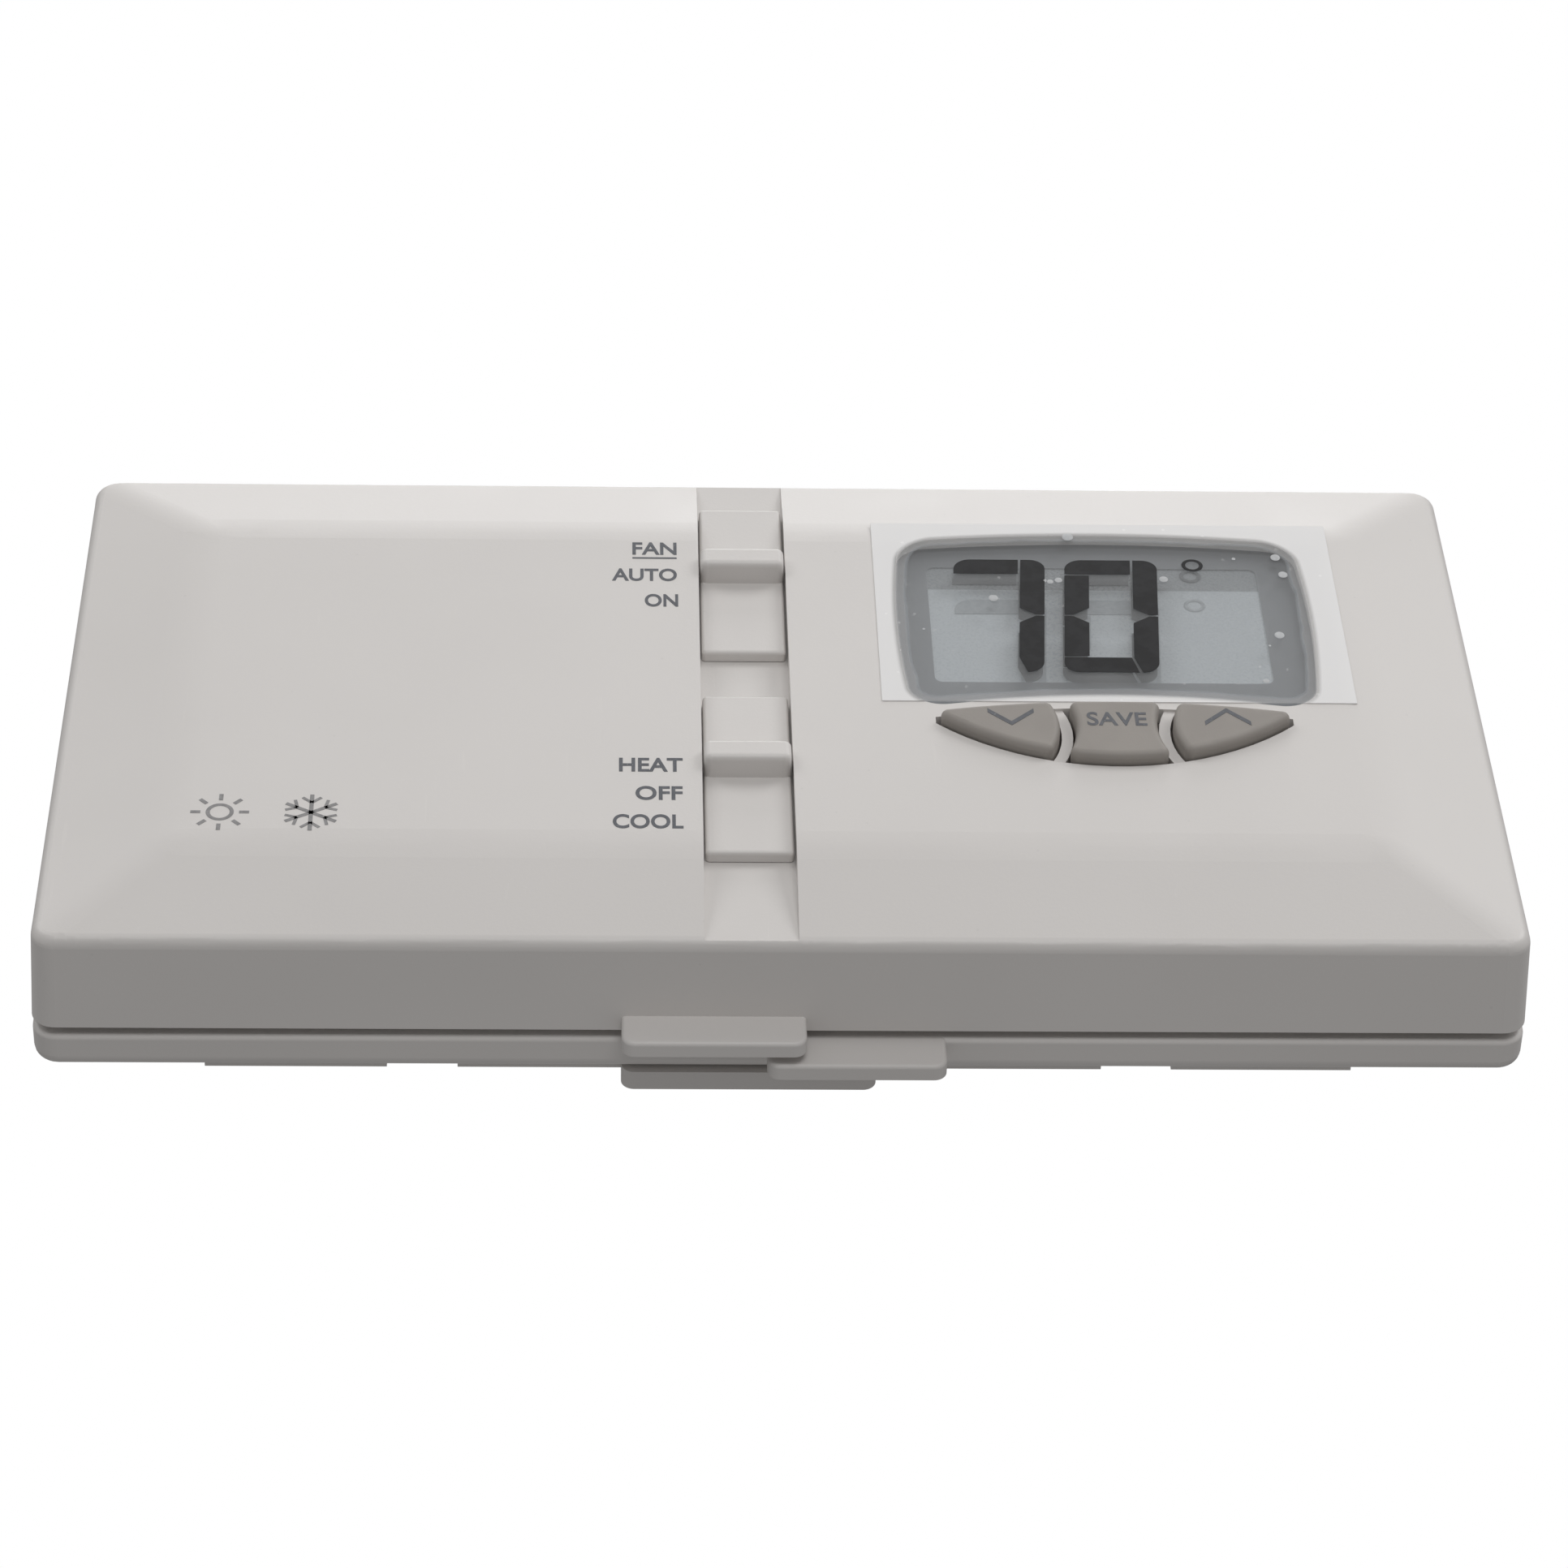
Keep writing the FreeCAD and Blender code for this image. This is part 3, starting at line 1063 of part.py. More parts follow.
def make_key(name, sign):
    """One key: a rounded cap, a flange behind the cover, a post, and a contact pill on its end."""
    blank = key_shape(f"{name}_cap", sign, "key_gap", ("key_flange_back", "key_top"))
    cornered = fillet(f"{name}_cornered", blank, "key_corner", along_depth)
    rounded = fillet(f"{name}_rounded", cornered, "key_round",
                     lambda edge: at_depth(edge, value("key_top")))
    flange = key_shape(f"{name}_flange", sign, "-key_flange", ("key_flange_back", "key_flange_front"))
    half = "side_flange_half" if sign else "middle_flange_half"
    trim = box(f"{name}_trim", (f"{key_post_x(sign)} - {half}", f"{key_post_x(sign)} + {half}"),
               ("key_flange_back", "key_flange_front"), ("-key_field", "key_high + flange_top"))
    post = rod(f"{name}_post", "key_post_radius", key_post_x(sign), "key_post_z",
               ("pill_back + pill_thick", "key_flange_back + root"))
    node(fuse(name, [rounded, common(f"{name}_flange_trimmed", [flange, trim]), post]), name)
    pill = rod(f"{name}_pill", "key_post_radius - pill_inset", key_post_x(sign), "key_post_z",
               ("pill_back", "pill_back + pill_thick"))
    node(pill, f"{name}_pill")


def make_keypad_mat():
    """Silicone mat behind the keys, with a hole round each post."""
    body = doc.addObject("PartDesign::Body", "keypad_mat_body")
    outline = rounded_rectangle(("key_centre - mat_half", "key_centre + mat_half"), ("mat_low", "mat_high"),
                                "mat_corner")
    pad(body, "mat", ("mat_back", "mat_front"), outline)
    through = ("mat_back - overshoot", "mat_front + overshoot")
    holes = [rod(f"mat_hole_{index}", "key_post_radius + mat_hole_play", key_post_x(sign), "key_post_z",
                 through)
             for index, sign in enumerate((-1, 0, 1))]
    node(cut("keypad_mat", body, holes), "keypad_mat")


# ---- front cover -----------------------------------------------------------------------------

def cover_shell():
    """Hollow cover with drafted walls and a sloping border round a flat face."""
    body = doc.addObject("PartDesign::Body", "cover_body")
    loft(body, "walls", [("seam", case_outline("0", "draft")), ("wall_top", case_outline("0", "0"))])
    loft(body, "border", [("wall_top", case_outline("0", "0")), ("face", face_outline("corner_radius"))])
    round_edges(body, "front_edge", "edge_round", lambda edge: at_depth(edge, value("wall_top")))
    round_edges(body, "face_edge", "face_round", lambda edge: at_depth(edge, value("face")))
    inner_top = "wall_top - shell_wall"
    loft(body, "hollow", [("seam - hair", case_outline("shell_wall", "draft")),
                          (inner_top, case_outline("shell_wall", "0"))], hollow=True)
    loft(body, "face_hollow", [(inner_top, case_outline("shell_wall", "0")),
                               ("face - shell_wall", face_outline("corner_radius"))], hollow=True)
    return body


def channel_walls():
    """Thick bed behind the slider channel, and the channel's two side walls."""
    side = ("channel_left - channel_wall", "channel_right + channel_wall")
    bed = box("channel_bed", side, ("wall_top - channel_floor", "wall_top"),
              ("-case_height / 2 + channel_inset", "case_height / 2 - channel_inset"))
    rails = box("channel_rails", side, ("wall_top - channel_floor", "face - channel_inset"),
                ("-rail_half", "rail_half"))
    return [bed, rails]


def slot_for(name, ridge, steps):
    """Slot in the channel's floor for a slider's stem over its whole travel."""
    middle = "(channel_left + channel_right) / 2"
    return box(f"{name}_stem_slot", (f"{middle} - stem_half_width - stem_play",
                                      f"{middle} + stem_half_width + stem_play"),
               ("wall_top - channel_floor - overshoot", "wall_top + overshoot"),
               (f"{ridge} - {steps} * switch_step - stem_half - stem_play",
                f"{ridge} + stem_half + stem_play"))


def cover_tab():
    """Rounded finger tab under the cover."""
    body = doc.addObject("PartDesign::Body", "cover_tab_body")
    outline = rounded_rectangle(("tab_left", "cover_tab_right"), ("-tab_reach", "-cover_tab_root"),
                                "tab_corner")
    pad(body, "cover_tab", ("seam", "cover_tab_front"), outline)
    round_edges(body, "cover_tab_edge", "tab_round", lambda edge: at_depth(edge, value("cover_tab_front")))
    return body


def hinge_arms():
    """Two arms at the top that reach back to stubs in the rear case's cheeks."""
    arms = []
    axis = "hinge_height"
    for side, sign in (("left", -1), ("right", 1)):
        middle = f"{sign} * hinge_x"
        span = (f"{middle} - arm_half_width", f"{middle} + arm_half_width")
        arms.append(box(f"hinge_arm_{side}", span, ("hinge_depth", "seam + arm_reach"),
                        (f"{axis} - arm_below", f"{axis} + arm_above")))
        arms.append(bar(f"hinge_eye_{side}", "arm_above", span, "hinge_depth", axis))
        stub = (f"{middle} - arm_half_width - stub_length", f"{middle} + arm_half_width + stub_length")
        arms.append(bar(f"hinge_stub_{side}", "hinge_pin", stub, "hinge_depth", axis))
    return arms


def mat_pegs():
    """Pegs that carry the keypad mat behind the cover."""
    places = [(f"key_centre {sign} {reach}", height) for sign in "-+"
              for reach, height in (("peg_side", "peg_side_z"), ("peg_low_x", "peg_low_z"))]
    return [rod(f"mat_peg_{index}", "peg_radius", x, z, ("mat_front", "face - shell_wall + root"))
            for index, (x, z) in enumerate(places)]


def make_front_cover():
    """The shell with its channel, window, key openings, tab and hinge arms."""
    solid = fuse("cover_solid", [cover_shell(), *channel_walls(), cover_tab(), *hinge_arms(), *mat_pegs()])
    channel = box("channel", ("channel_left", "channel_right"), ("wall_top", "face + overshoot"),
                  ("-case_height", "case_height"))
    window = lens_prism("window", 0.0, ("flange_front - root", "face + overshoot"))
    seat = lens_prism("window_seat", value("lens_flange + lens_play"),
                      ("lens_back - root", "flange_front + glue_line"))
    sunk = key_area("key_sunk", "0", ("face - rib_sunk", "face + overshoot"))
    through = ("lens_back - overshoot", "face + overshoot")
    holes = [key_shape(f"key_hole_{index}", sign, "0", through) for index, sign in enumerate((-1, 0, 1))]
    slots = [slot_for("fan", "fan_ridge", 1), slot_for("system", "system_ridge", 2)]
    node(cut("front_cover", solid, [channel, window, seat, sunk, *holes, *slots]), "front_cover")


# ---- sliders ---------------------------------------------------------------------------------

def make_slider(name, low, high, ridge):
    """A slider: long plate in the channel, finger ridge, and a forked stem through the floor."""
    left, right = "channel_left + slider_gap", "channel_right - slider_gap"
    middle = "(channel_left + channel_right) / 2"
    body = doc.addObject("PartDesign::Body", f"{name}_plate_body")
    outline = rounded_rectangle((left, right), (low, high), "slider_corner")
    pad(body, f"{name}_plate", ("wall_top + slider_lift", "slider_front"), outline)
    round_edges(body, f"{name}_plate_edge", "slider_round",
                lambda edge: at_depth(edge, value("slider_front")))
    grip = doc.addObject("PartDesign::Body", f"{name}_ridge_body")
    span = rounded_rectangle((left, right), (f"{ridge} - ridge_half", f"{ridge} + ridge_half"),
                             "ridge_corner")
    pad(grip, f"{name}_ridge", ("slider_front - root", "ridge_front"), span)
    round_edges(grip, f"{name}_ridge_edge", "ridge_round", lambda edge: at_depth(edge, value("ridge_front")))
    stem = box(f"{name}_stem", (f"{middle} - stem_half_width", f"{middle} + stem_half_width"),
               ("stem_back", "slider_front - root"), (f"{ridge} - stem_half", f"{ridge} + stem_half"))
    foot = box(f"{name}_foot", (f"{middle} - stem_half_width - foot_reach",
                                 f"{middle} + stem_half_width + foot_reach"),
               ("stem_back", "stem_back + foot_thick"), (f"{ridge} - stem_half", f"{ridge} + stem_half"))
    fork = box(f"{name}_fork", (f"{middle} - fork_half_width", f"{middle} + fork_half_width"),
               ("stem_back - overshoot", "lever_front + stem_play"),
               (f"{ridge} - lever_half - fork_gap", f"{ridge} + lever_half + fork_gap"))
    node(cut(f"{name}_slider", fuse(f"{name}_solid", [body, grip, stem, foot]), [fork]), f"{name}_slider")


# ---- assembly --------------------------------------------------------------------------------

def make_all():
    make_wall_plate()
    make_terminal_block()
    make_terminal_metal()
    make_rear_case()
    make_batteries()
    make_battery_contacts()
    make_circuit_board()
    make_board_screws()
    make_header()
    make_relays()
    make_small_parts()
    make_slide_switch("fan", "fan_ridge", 1)
    make_slide_switch("system", "system_ridge", 2)
    make_display()
    make_front_cover()
    make_lens()
    make_film()
    for name, sign in (("button_down", -1), ("button_save", 0), ("button_up", 1)):
        make_key(name, sign)
    make_keypad_mat()
    make_slider("fan", "fan_low", "fan_high", "fan_ridge")
    make_slider("system", "system_low", "system_high", "system_ridge")
    doc.recompute()


def check():
    """Stop if any object failed or any sub-part's shape is not sound."""
    for thing in doc.Objects:
        if "Invalid" in thing.State or "Error" in thing.State:
            raise RuntimeError(f"{thing.Label} failed: {thing.State}")
    for thing in nodes:
        if thing.Shape.isNull() or not thing.Shape.isValid() or not thing.Shape.Solids:
            raise RuntimeError(f"{thing.Label} has no sound solid")


def write():
    os.makedirs(PARTS_FOLDER, exist_ok=True)
    for thing in nodes:
        thing.Shape.exportStep(os.path.join(PARTS_FOLDER, f"{thing.Label}.step"))
        print(f"{thing.Label}: {len(thing.Shape.Solids)} solids, {thing.Shape.Volume:.1f} mm3")


fill_sheet()
make_all()
check()
write()
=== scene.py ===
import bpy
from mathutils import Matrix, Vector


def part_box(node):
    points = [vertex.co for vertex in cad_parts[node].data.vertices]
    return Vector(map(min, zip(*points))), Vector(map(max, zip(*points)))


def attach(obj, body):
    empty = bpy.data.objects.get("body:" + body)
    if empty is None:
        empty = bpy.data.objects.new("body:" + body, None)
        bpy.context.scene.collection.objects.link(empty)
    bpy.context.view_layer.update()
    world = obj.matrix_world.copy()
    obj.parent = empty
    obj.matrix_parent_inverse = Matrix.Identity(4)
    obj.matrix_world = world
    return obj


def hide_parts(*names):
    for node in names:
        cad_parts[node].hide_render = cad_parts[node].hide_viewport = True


bl_info = {
    "name": "Wall Thermostat Looks",
    "version": (1, 0, 0),
    "blender": (4, 5, 0),
    "location": "3D View > Sidebar > Thermostat",
    "description": "Finishes, markings and small parts for a wall thermostat built round its CAD frame",
    "category": "Object",
}

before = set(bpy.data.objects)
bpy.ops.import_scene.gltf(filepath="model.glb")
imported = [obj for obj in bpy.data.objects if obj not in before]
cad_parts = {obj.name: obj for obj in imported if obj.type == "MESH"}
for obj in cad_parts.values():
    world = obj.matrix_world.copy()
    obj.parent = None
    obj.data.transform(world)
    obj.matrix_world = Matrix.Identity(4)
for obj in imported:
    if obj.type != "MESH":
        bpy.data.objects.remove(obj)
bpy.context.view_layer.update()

import math

import bpy
from bpy.props import FloatProperty, FloatVectorProperty, IntProperty, PointerProperty
from mathutils import Matrix, Vector

MM = 0.001
NEAR = 1e-6
FILM_LOW, FILM_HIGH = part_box("protective_film")
LENS_LOW, LENS_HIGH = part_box("display_lens")
PANEL_LOW, PANEL_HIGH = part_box("display_panel")
BOARD_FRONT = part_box("circuit_board")[0].y
# how far the cover's flat face, which is the film's back, and the film's front stand off the wall
FACE_DEPTH, FILM_DEPTH = -FILM_HIGH.y, -FILM_LOW.y
# the window's outline: radii of its bulging top and sides and of its hollow bottom, the height at
# which its sides are widest, and the radius of its corners
TOP_BULGE, SIDE_BULGE, BOTTOM_HOLLOW = 160 * MM, 118 * MM, 95 * MM
SIDE_MIDDLE, LENS_CORNER = 11.52 * MM, 3.6 * MM
# lower edge of the painted shadow band along the top of the display glass, the shade the lens's printed
# border would cast there
SHADOW_BAND_LOW = 19.15 * MM
# the clear part of the lens: its edges in from the lens's sides, and its lower and upper edges
CLEAR_LEFT_IN, CLEAR_RIGHT_IN, CLEAR_LOW, CLEAR_HIGH = 1.0 * MM, 1.85 * MM, 2.4 * MM, 23.2 * MM
KEYS = ("button_down", "button_save", "button_up")
KEY_BODIES = {"button_down": "down_key", "button_save": "save_key", "button_up": "up_key"}
# whether a cell's nub is at its right end
NUB_RIGHT = {"battery_upper": True, "battery_lower": False}


# ---- sizes and colours -----------------------------------------------------------------------

def length(name, description, millimetres):
    return FloatProperty(name=name, description=description, default=millimetres * MM, subtype="DISTANCE",
                         unit="LENGTH", precision=5)


def colour(name, description, *rgb):
    return FloatVectorProperty(name=name, description=description, default=rgb, subtype="COLOR", min=0, max=1,
                               size=3)


def power(name, description, watts):
    return FloatProperty(name=name, description=description, default=watts, min=0, unit="POWER")


class MarkingSizes(bpy.types.PropertyGroup):
    """Words and icons printed on the face."""

    legend_height: length("Legend height", "Capital height of the slider legends", 2.3)
    legend_shift: length("Legend shift", "Moves all slider legends to the right", 0.0)
    line_drop: length("Line drop", "How far the line lies below the first legend", 0.62)
    print_thick: length("Print", "Thickness of a printed mark", 0.03)
    save_width: length("Save width", "Width of the word on the middle key", 6.1)
    save_height: length("Save height", "Height of the word on the middle key", 2.3)
    save_low: length("Save low", "Lower edge of the word on the middle key", -9.3)
    arrow_width: length("Arrow width", "Width of the arrowheads on the other keys", 4.7)
    arrow_stroke: length("Arrow stroke", "Width of an arrowhead's stroke", 0.70)
    icon_left: length("Sun icon", "Middle of the sun icon", -55.6)
    icon_right: length("Snow icon", "Middle of the snowflake icon", -46.6)
    icon_height: length("Icon height", "Height of both icons' middles", -22.8)
    icon_radius: length("Icon radius", "Outer radius of both icons", 2.9)
    icon_stroke: length("Icon stroke", "Stroke of both icons", 0.42)


class DisplaySizes(bpy.types.PropertyGroup):
    """The sample digits on the film and what shows through it."""

    digit_stroke: length("Digit stroke", "Width of a digit's stroke", 2.6)
    digit_gap: length("Digit gap", "Gap between the bars of a digit", 0.26)
    digit_corner: length("Digit corner", "Radius of a digit's outer corners", 1.7)
    digit_low: length("Digit low", "Lower edge of the digits", 1.65)
    digit_high: length("Digit high", "Upper edge of the digits", 22.0)
    digit_slant: FloatProperty(name="Digit slant", description="How far the digits lean, per unit of height",
                               default=0.066)
    # the dark copies of the digits on the display glass: the first are their painted shadow, the second,
    # lower down, their painted reflection
    segment_rise: length("Shadow rise", "How far the crystal's segments stand above the film's digits", 0.8)
    echo_rise: length("Reflection rise", "The same for the fainter second image below them", -4.6)
    degree_radius: length("Degree ring", "Outer radius of the degree ring", 1.15)
    degree_stroke: length("Degree stroke", "Stroke of the degree ring", 0.42)
    lens_flange: length("Lens flange", "Glued flange of the lens, hidden behind the cover", 0.8)
    lens_hollow: length("Lens bottom", "Lower edge of the window at its middle", -2.35)
    print_width: length("Lens print", "Width of the grey border printed behind the lens", 3.6)


class InsideSizes(bpy.types.PropertyGroup):
    """Small parts inside the case."""

    spring_wire: length("Spring wire", "Radius of the battery springs' wire", 0.3)
    spring_radius: length("Spring radius", "Outer radius of a battery spring", 4.2)
    spring_length: length("Spring length", "Length of a battery spring when pressed", 1.5)
    spring_turns: IntProperty(name="Spring turns", description="Turns in a battery spring", default=4, min=2,
                              max=10)
    resistor_length: length("Chip resistor", "Length of a chip resistor", 2.0)


class Colours(bpy.types.PropertyGroup):
    """Colours of the finishes, in linear light."""

    cover: colour("Cover", "Warm white of the front cover", 0.66, 0.635, 0.615)
    case: colour("Case", "Warm white of the rear case and wall plate", 0.64, 0.615, 0.595)
    keys: colour("Keys", "Warm grey of the keys", 0.285, 0.262, 0.24)
    ink: colour("Ink", "Slate grey of the printed words", 0.10, 0.105, 0.118)
    icon_ink: colour("Icon ink", "Mid grey of the icons", 0.24, 0.235, 0.235)
    digit: colour("Digits", "Near black of the sample digits", 0.012, 0.012, 0.013)
    crystal: colour("Liquid crystal", "Grey of the display glass", 0.40, 0.435, 0.46)
    lens_print: colour("Lens print", "Dark grey border behind the lens", 0.17, 0.18, 0.19)
    board: colour("Board", "Green solder mask", 0.02, 0.13, 0.055)


class Studio(bpy.types.PropertyGroup):
    """Camera, lamps and backdrop."""

    lens: FloatProperty(name="Lens", description="Focal length on a 36 mm sensor", default=116.7, min=20,
                        max=300, unit="CAMERA")
    camera_place: FloatVectorProperty(name="Camera", description="Where the camera stands",
                                      default=(-0.01715, -0.32684, -0.42347), subtype="TRANSLATION",
                                      unit="LENGTH")
    top_power: power("Top light", "Power of the lamp above", 2.6)
    right_power: power("Right light", "Power of the right-hand lamp", 3.9)
    left_power: power("Left light", "Power of the left-hand lamp", 2.6)
    front_power: power("Front light", "Power of the lamp by the camera", 3.4)
    fill_strength: FloatProperty(name="Fill", description="Strength of the light from all sides",
                                 default=0.37, min=0)


GROUPS = {"markings": MarkingSizes, "display": DisplaySizes, "inside": InsideSizes, "colours": Colours,
          "studio": Studio}


def chosen(group):
    """The property group of that name on the scene."""
    return getattr(bpy.context.scene, f"thermostat_{group}")


def shade_of(name):
    """One of the chosen colours."""
    return tuple(getattr(chosen("colours"), name))


# ---- finishes --------------------------------------------------------------------------------

class Wire:
    """A shader socket that takes part in Python sums."""

    def __init__(self, finish, socket):
        self.finish = finish
        self.socket = socket

    def sum(self, operation, *values):
        return self.finish.node("ShaderNodeMath", {"operation": operation}, dict(enumerate(values)))

    def __add__(self, other):
        return self.sum("ADD", self, other)

    __radd__ = __add__

    def __sub__(self, other):
        return self.sum("SUBTRACT", self, other)

    def __rsub__(self, other):
        return self.sum("SUBTRACT", other, self)

    def __mul__(self, other):
        return self.sum("MULTIPLY", self, other)

    __rmul__ = __mul__

    def __truediv__(self, other):
        return self.sum("DIVIDE", self, other)

    def __rtruediv__(self, other):
        return self.sum("DIVIDE", other, self)

    def __pow__(self, other):
        return self.sum("POWER", self, other)

    def high(self, other):
        return self.sum("MAXIMUM", self, other)

    def low(self, other):
        return self.sum("MINIMUM", self, other)

    def size(self):
        return self.sum("ABSOLUTE", self)

    def root(self):
        return self.sum("SQRT", self)

    def wave(self):
        return self.sum("SINE", self)

    def fraction(self):
        return self.sum("FRACT", self)

    def step(self, start, end):
        """Rises smoothly from 0 at start to 1 at end, and falls if end is below start."""
        falls = end < start
        low, high = (end, start) if falls else (start, end)
        values = {"Value": self, "From Min": low, "From Max": high, "To Min": float(falls),
                  "To Max": float(not falls)}
        return self.finish.node("ShaderNodeMapRange", {"interpolation_type": "SMOOTHSTEP"}, values)


class Finish:
    """One procedural material."""

    def __init__(self, name):
        self.material = bpy.data.materials.new(name)
        self.material.use_nodes = True
        self.tree = self.material.node_tree
        self.tree.nodes.clear()
        self.place = self.node("ShaderNodeTexCoord", output="Object")

    def node(self, kind, settings=None, values=None, output=0):
        """Any node: its settings first, then the numbers or links of its sockets."""
        made = self.tree.nodes.new(kind)
        for key, setting in (settings or {}).items():
            setattr(made, key, setting)
        for key, given in (values or {}).items():
            if isinstance(given, Wire):
                self.tree.links.new(given.socket, made.inputs[key])
            else:
                made.inputs[key].default_value = given
        return Wire(self, made.outputs[output])

    def axes(self):
        """The three numbers of the place."""
        parted = self.node("ShaderNodeSeparateXYZ", values={0: self.place}).socket.node
        return [Wire(self, output) for output in parted.outputs]

    def noise(self, scale, detail=2.0, roughness=0.5, stretch=None):
        """Noise from 0 to 1, stretched along an axis if asked."""
        vector = self.place
        if stretch:
            vector = self.node("ShaderNodeMapping", values={"Vector": self.place, "Scale": stretch})
        return self.node("ShaderNodeTexNoise", values={"Vector": vector, "Scale": scale, "Detail": detail,
                                                       "Roughness": roughness})

    def cells(self, scale):
        """Distance to the nearest of many scattered points."""
        return self.node("ShaderNodeTexVoronoi", values={"Vector": self.place, "Scale": scale},
                         output="Distance")

    def blend(self, share, first, second):
        """A colour between two."""
        ends = {6: first if isinstance(first, Wire) else (*first, 1.0),
                7: second if isinstance(second, Wire) else (*second, 1.0)}
        return self.node("ShaderNodeMix", {"data_type": "RGBA"}, {0: share, **ends}, output=2)

    def bump(self, height, depth, strength=1.0):
        """A normal from a height of 0 to 1 that stands for a depth in metres."""
        return self.node("ShaderNodeBump", values={"Height": height, "Distance": depth, "Strength": strength})

    def surface(self, colour, roughness, bump=None, **values):
        """The shader itself, which completes the material."""
        given = {"Base Color": colour if isinstance(colour, Wire) else (*colour, 1.0), "Roughness": roughness}
        if bump is not None:
            given["Normal"] = bump
        given.update({key.replace("_", " "): number for key, number in values.items()})
        return self.show(self.node("ShaderNodeBsdfPrincipled", values=given))

    def show(self, shader):
        output = self.tree.nodes.new("ShaderNodeOutputMaterial")
        self.tree.links.new(shader.socket, output.inputs["Surface"])
        return self.material


def darker(shade, share):
    return tuple(channel * share for channel in shade)


def moulded_plastic(name, shade, roughness=0.42, grain=2600.0):
    """Moulded plastic with a spark-eroded grain, faint flow marks, handling gloss and a few scuffs."""
    finish = Finish(name)
    grain_height = finish.noise(grain, 3.0, 0.6)
    flow = finish.noise(22.0, 3.0, 0.55)
    handled = finish.noise(60.0).step(0.52, 0.72)
    scuffs = finish.noise(900.0, 2.0, 0.7, stretch=(1.0, 1.0, 0.06)).step(0.70, 0.78)
    specks = finish.cells(260.0).step(0.045, 0.03)
    tone = finish.blend(flow.step(0.3, 0.7), darker(shade, 0.985), darker(shade, 1.015))
    tone = finish.blend(scuffs * 0.25, tone, darker(shade, 1.08))
    tone = finish.blend(specks * 0.10, tone, darker(shade, 0.55))
    gloss = grain_height * 0.10 + (roughness - 0.04) - handled * 0.05 + scuffs * 0.06
    return finish.surface(tone, gloss, finish.bump(grain_height - scuffs * 0.4, 0.010 * MM),
                          Specular_IOR_Level=0.45)


def key_rubber(name, shade):
    """Keys: satin warm grey with a fine grain, polished where fingers press."""
    finish = Finish(name)
    grain_height = finish.noise(4200.0, 2.0, 0.6)
    patch = finish.noise(180.0)
    tone = finish.blend(patch.step(0.35, 0.65), darker(shade, 0.97), darker(shade, 1.04))
    lint = finish.noise(1500.0, 2.0, 0.6, stretch=(1.0, 1.0, 0.1)).step(0.74, 0.80)
    tone = finish.blend(lint * 0.3, tone, darker(shade, 1.5))
    gloss = 0.50 + patch * 0.10 + grain_height * 0.06
    return finish.surface(tone, gloss, finish.bump(grain_height, 0.010 * MM))


def printed_ink(name, shade):
    """Pad-printed ink, slightly uneven, with pinholes."""
    finish = Finish(name)
    patch = finish.noise(1400.0, 3.0, 0.6)
    pinholes = finish.noise(5200.0, 1.0, 0.5).step(0.70, 0.76)
    tone = finish.blend(patch.step(0.3, 0.7), darker(shade, 0.88), darker(shade, 1.15))
    tone = finish.blend(pinholes * 0.35, tone, (0.5, 0.48, 0.47))
    return finish.surface(tone, 0.45 + patch * 0.2, finish.bump(patch, 0.004 * MM))


def digit_ink(name, shade):
    """Glossy black ink of the sample digits on the film."""
    finish = Finish(name)
    patch = finish.noise(700.0)
    tone = finish.blend(patch.step(0.35, 0.65), darker(shade, 0.8), darker(shade, 1.5))
    return finish.surface(tone, 0.38 + patch * 0.2, finish.bump(patch, 0.006 * MM), Specular_IOR_Level=0.2)


def rounded_border(finish, low, high, corner):
    """Distance outside a rounded rectangle in the XZ plane, negative inside."""
    x, _, z = finish.axes()
    across = (x - (low[0] + high[0]) / 2).size() - (high[0] - low[0]) / 2
    along = (z - (low[1] + high[1]) / 2).size() - (high[1] - low[1]) / 2
    return rounded(across, along, corner)


def rounded(across, along, corner):
    """Two distances outside crossing edges made one, with the corners between them rounded."""
    outside = ((across + corner).high(0.0) ** 2.0 + (along + corner).high(0.0) ** 2.0).root()
    return outside + (across + corner).high(along + corner).low(0.0) - corner


def window_border(finish):
    """Distance outside the window's outline: bulging top and sides, hollow bottom, round corners."""
    sizes = chosen("display")
    x, _, z = finish.axes()
    flange = sizes.lens_flange
    left, right = LENS_LOW.x + flange, LENS_HIGH.x - flange
    low, high = sizes.lens_hollow, LENS_HIGH.z - flange
    middle = (left + right) / 2

    def circle(centre_x, centre_z, radius):
        return ((x - centre_x) ** 2.0 + (z - centre_z) ** 2.0).root() - radius

    across = circle(left + SIDE_BULGE, SIDE_MIDDLE, SIDE_BULGE).high(
        circle(right - SIDE_BULGE, SIDE_MIDDLE, SIDE_BULGE))
    along = circle(middle, high - TOP_BULGE, TOP_BULGE).high(
        0.0 - circle(middle, low - BOTTOM_HOLLOW, BOTTOM_HOLLOW))
    return rounded(across, along, LENS_CORNER)


def clear_lens(name):
    """Clear moulded window with a grey border printed on its back."""
    sizes = chosen("display")
    finish = Finish(name)
    low = (LENS_LOW.x + sizes.print_width + CLEAR_LEFT_IN, CLEAR_LOW)
    high = (LENS_HIGH.x - sizes.print_width - CLEAR_RIGHT_IN, CLEAR_HIGH)
    border = rounded_border(finish, low, high, 0.9 * MM).step(-0.02 * MM, 0.04 * MM)
    y = finish.axes()[1]
    back = y.step(LENS_HIGH.y - 0.12 * MM, LENS_HIGH.y - 0.04 * MM)
    printed = border * back
    dust = finish.noise(900.0, 3.0, 0.7).step(0.66, 0.80)
    tone = finish.blend(printed, (0.80, 0.84, 0.86), shade_of("lens_print"))
    alpha = (printed * 0.90 + 0.07 + dust * 0.03).low(1.0)
    return finish.surface(tone, 0.05 + dust * 0.12 + printed * 0.25, Alpha=alpha, IOR=1.49)


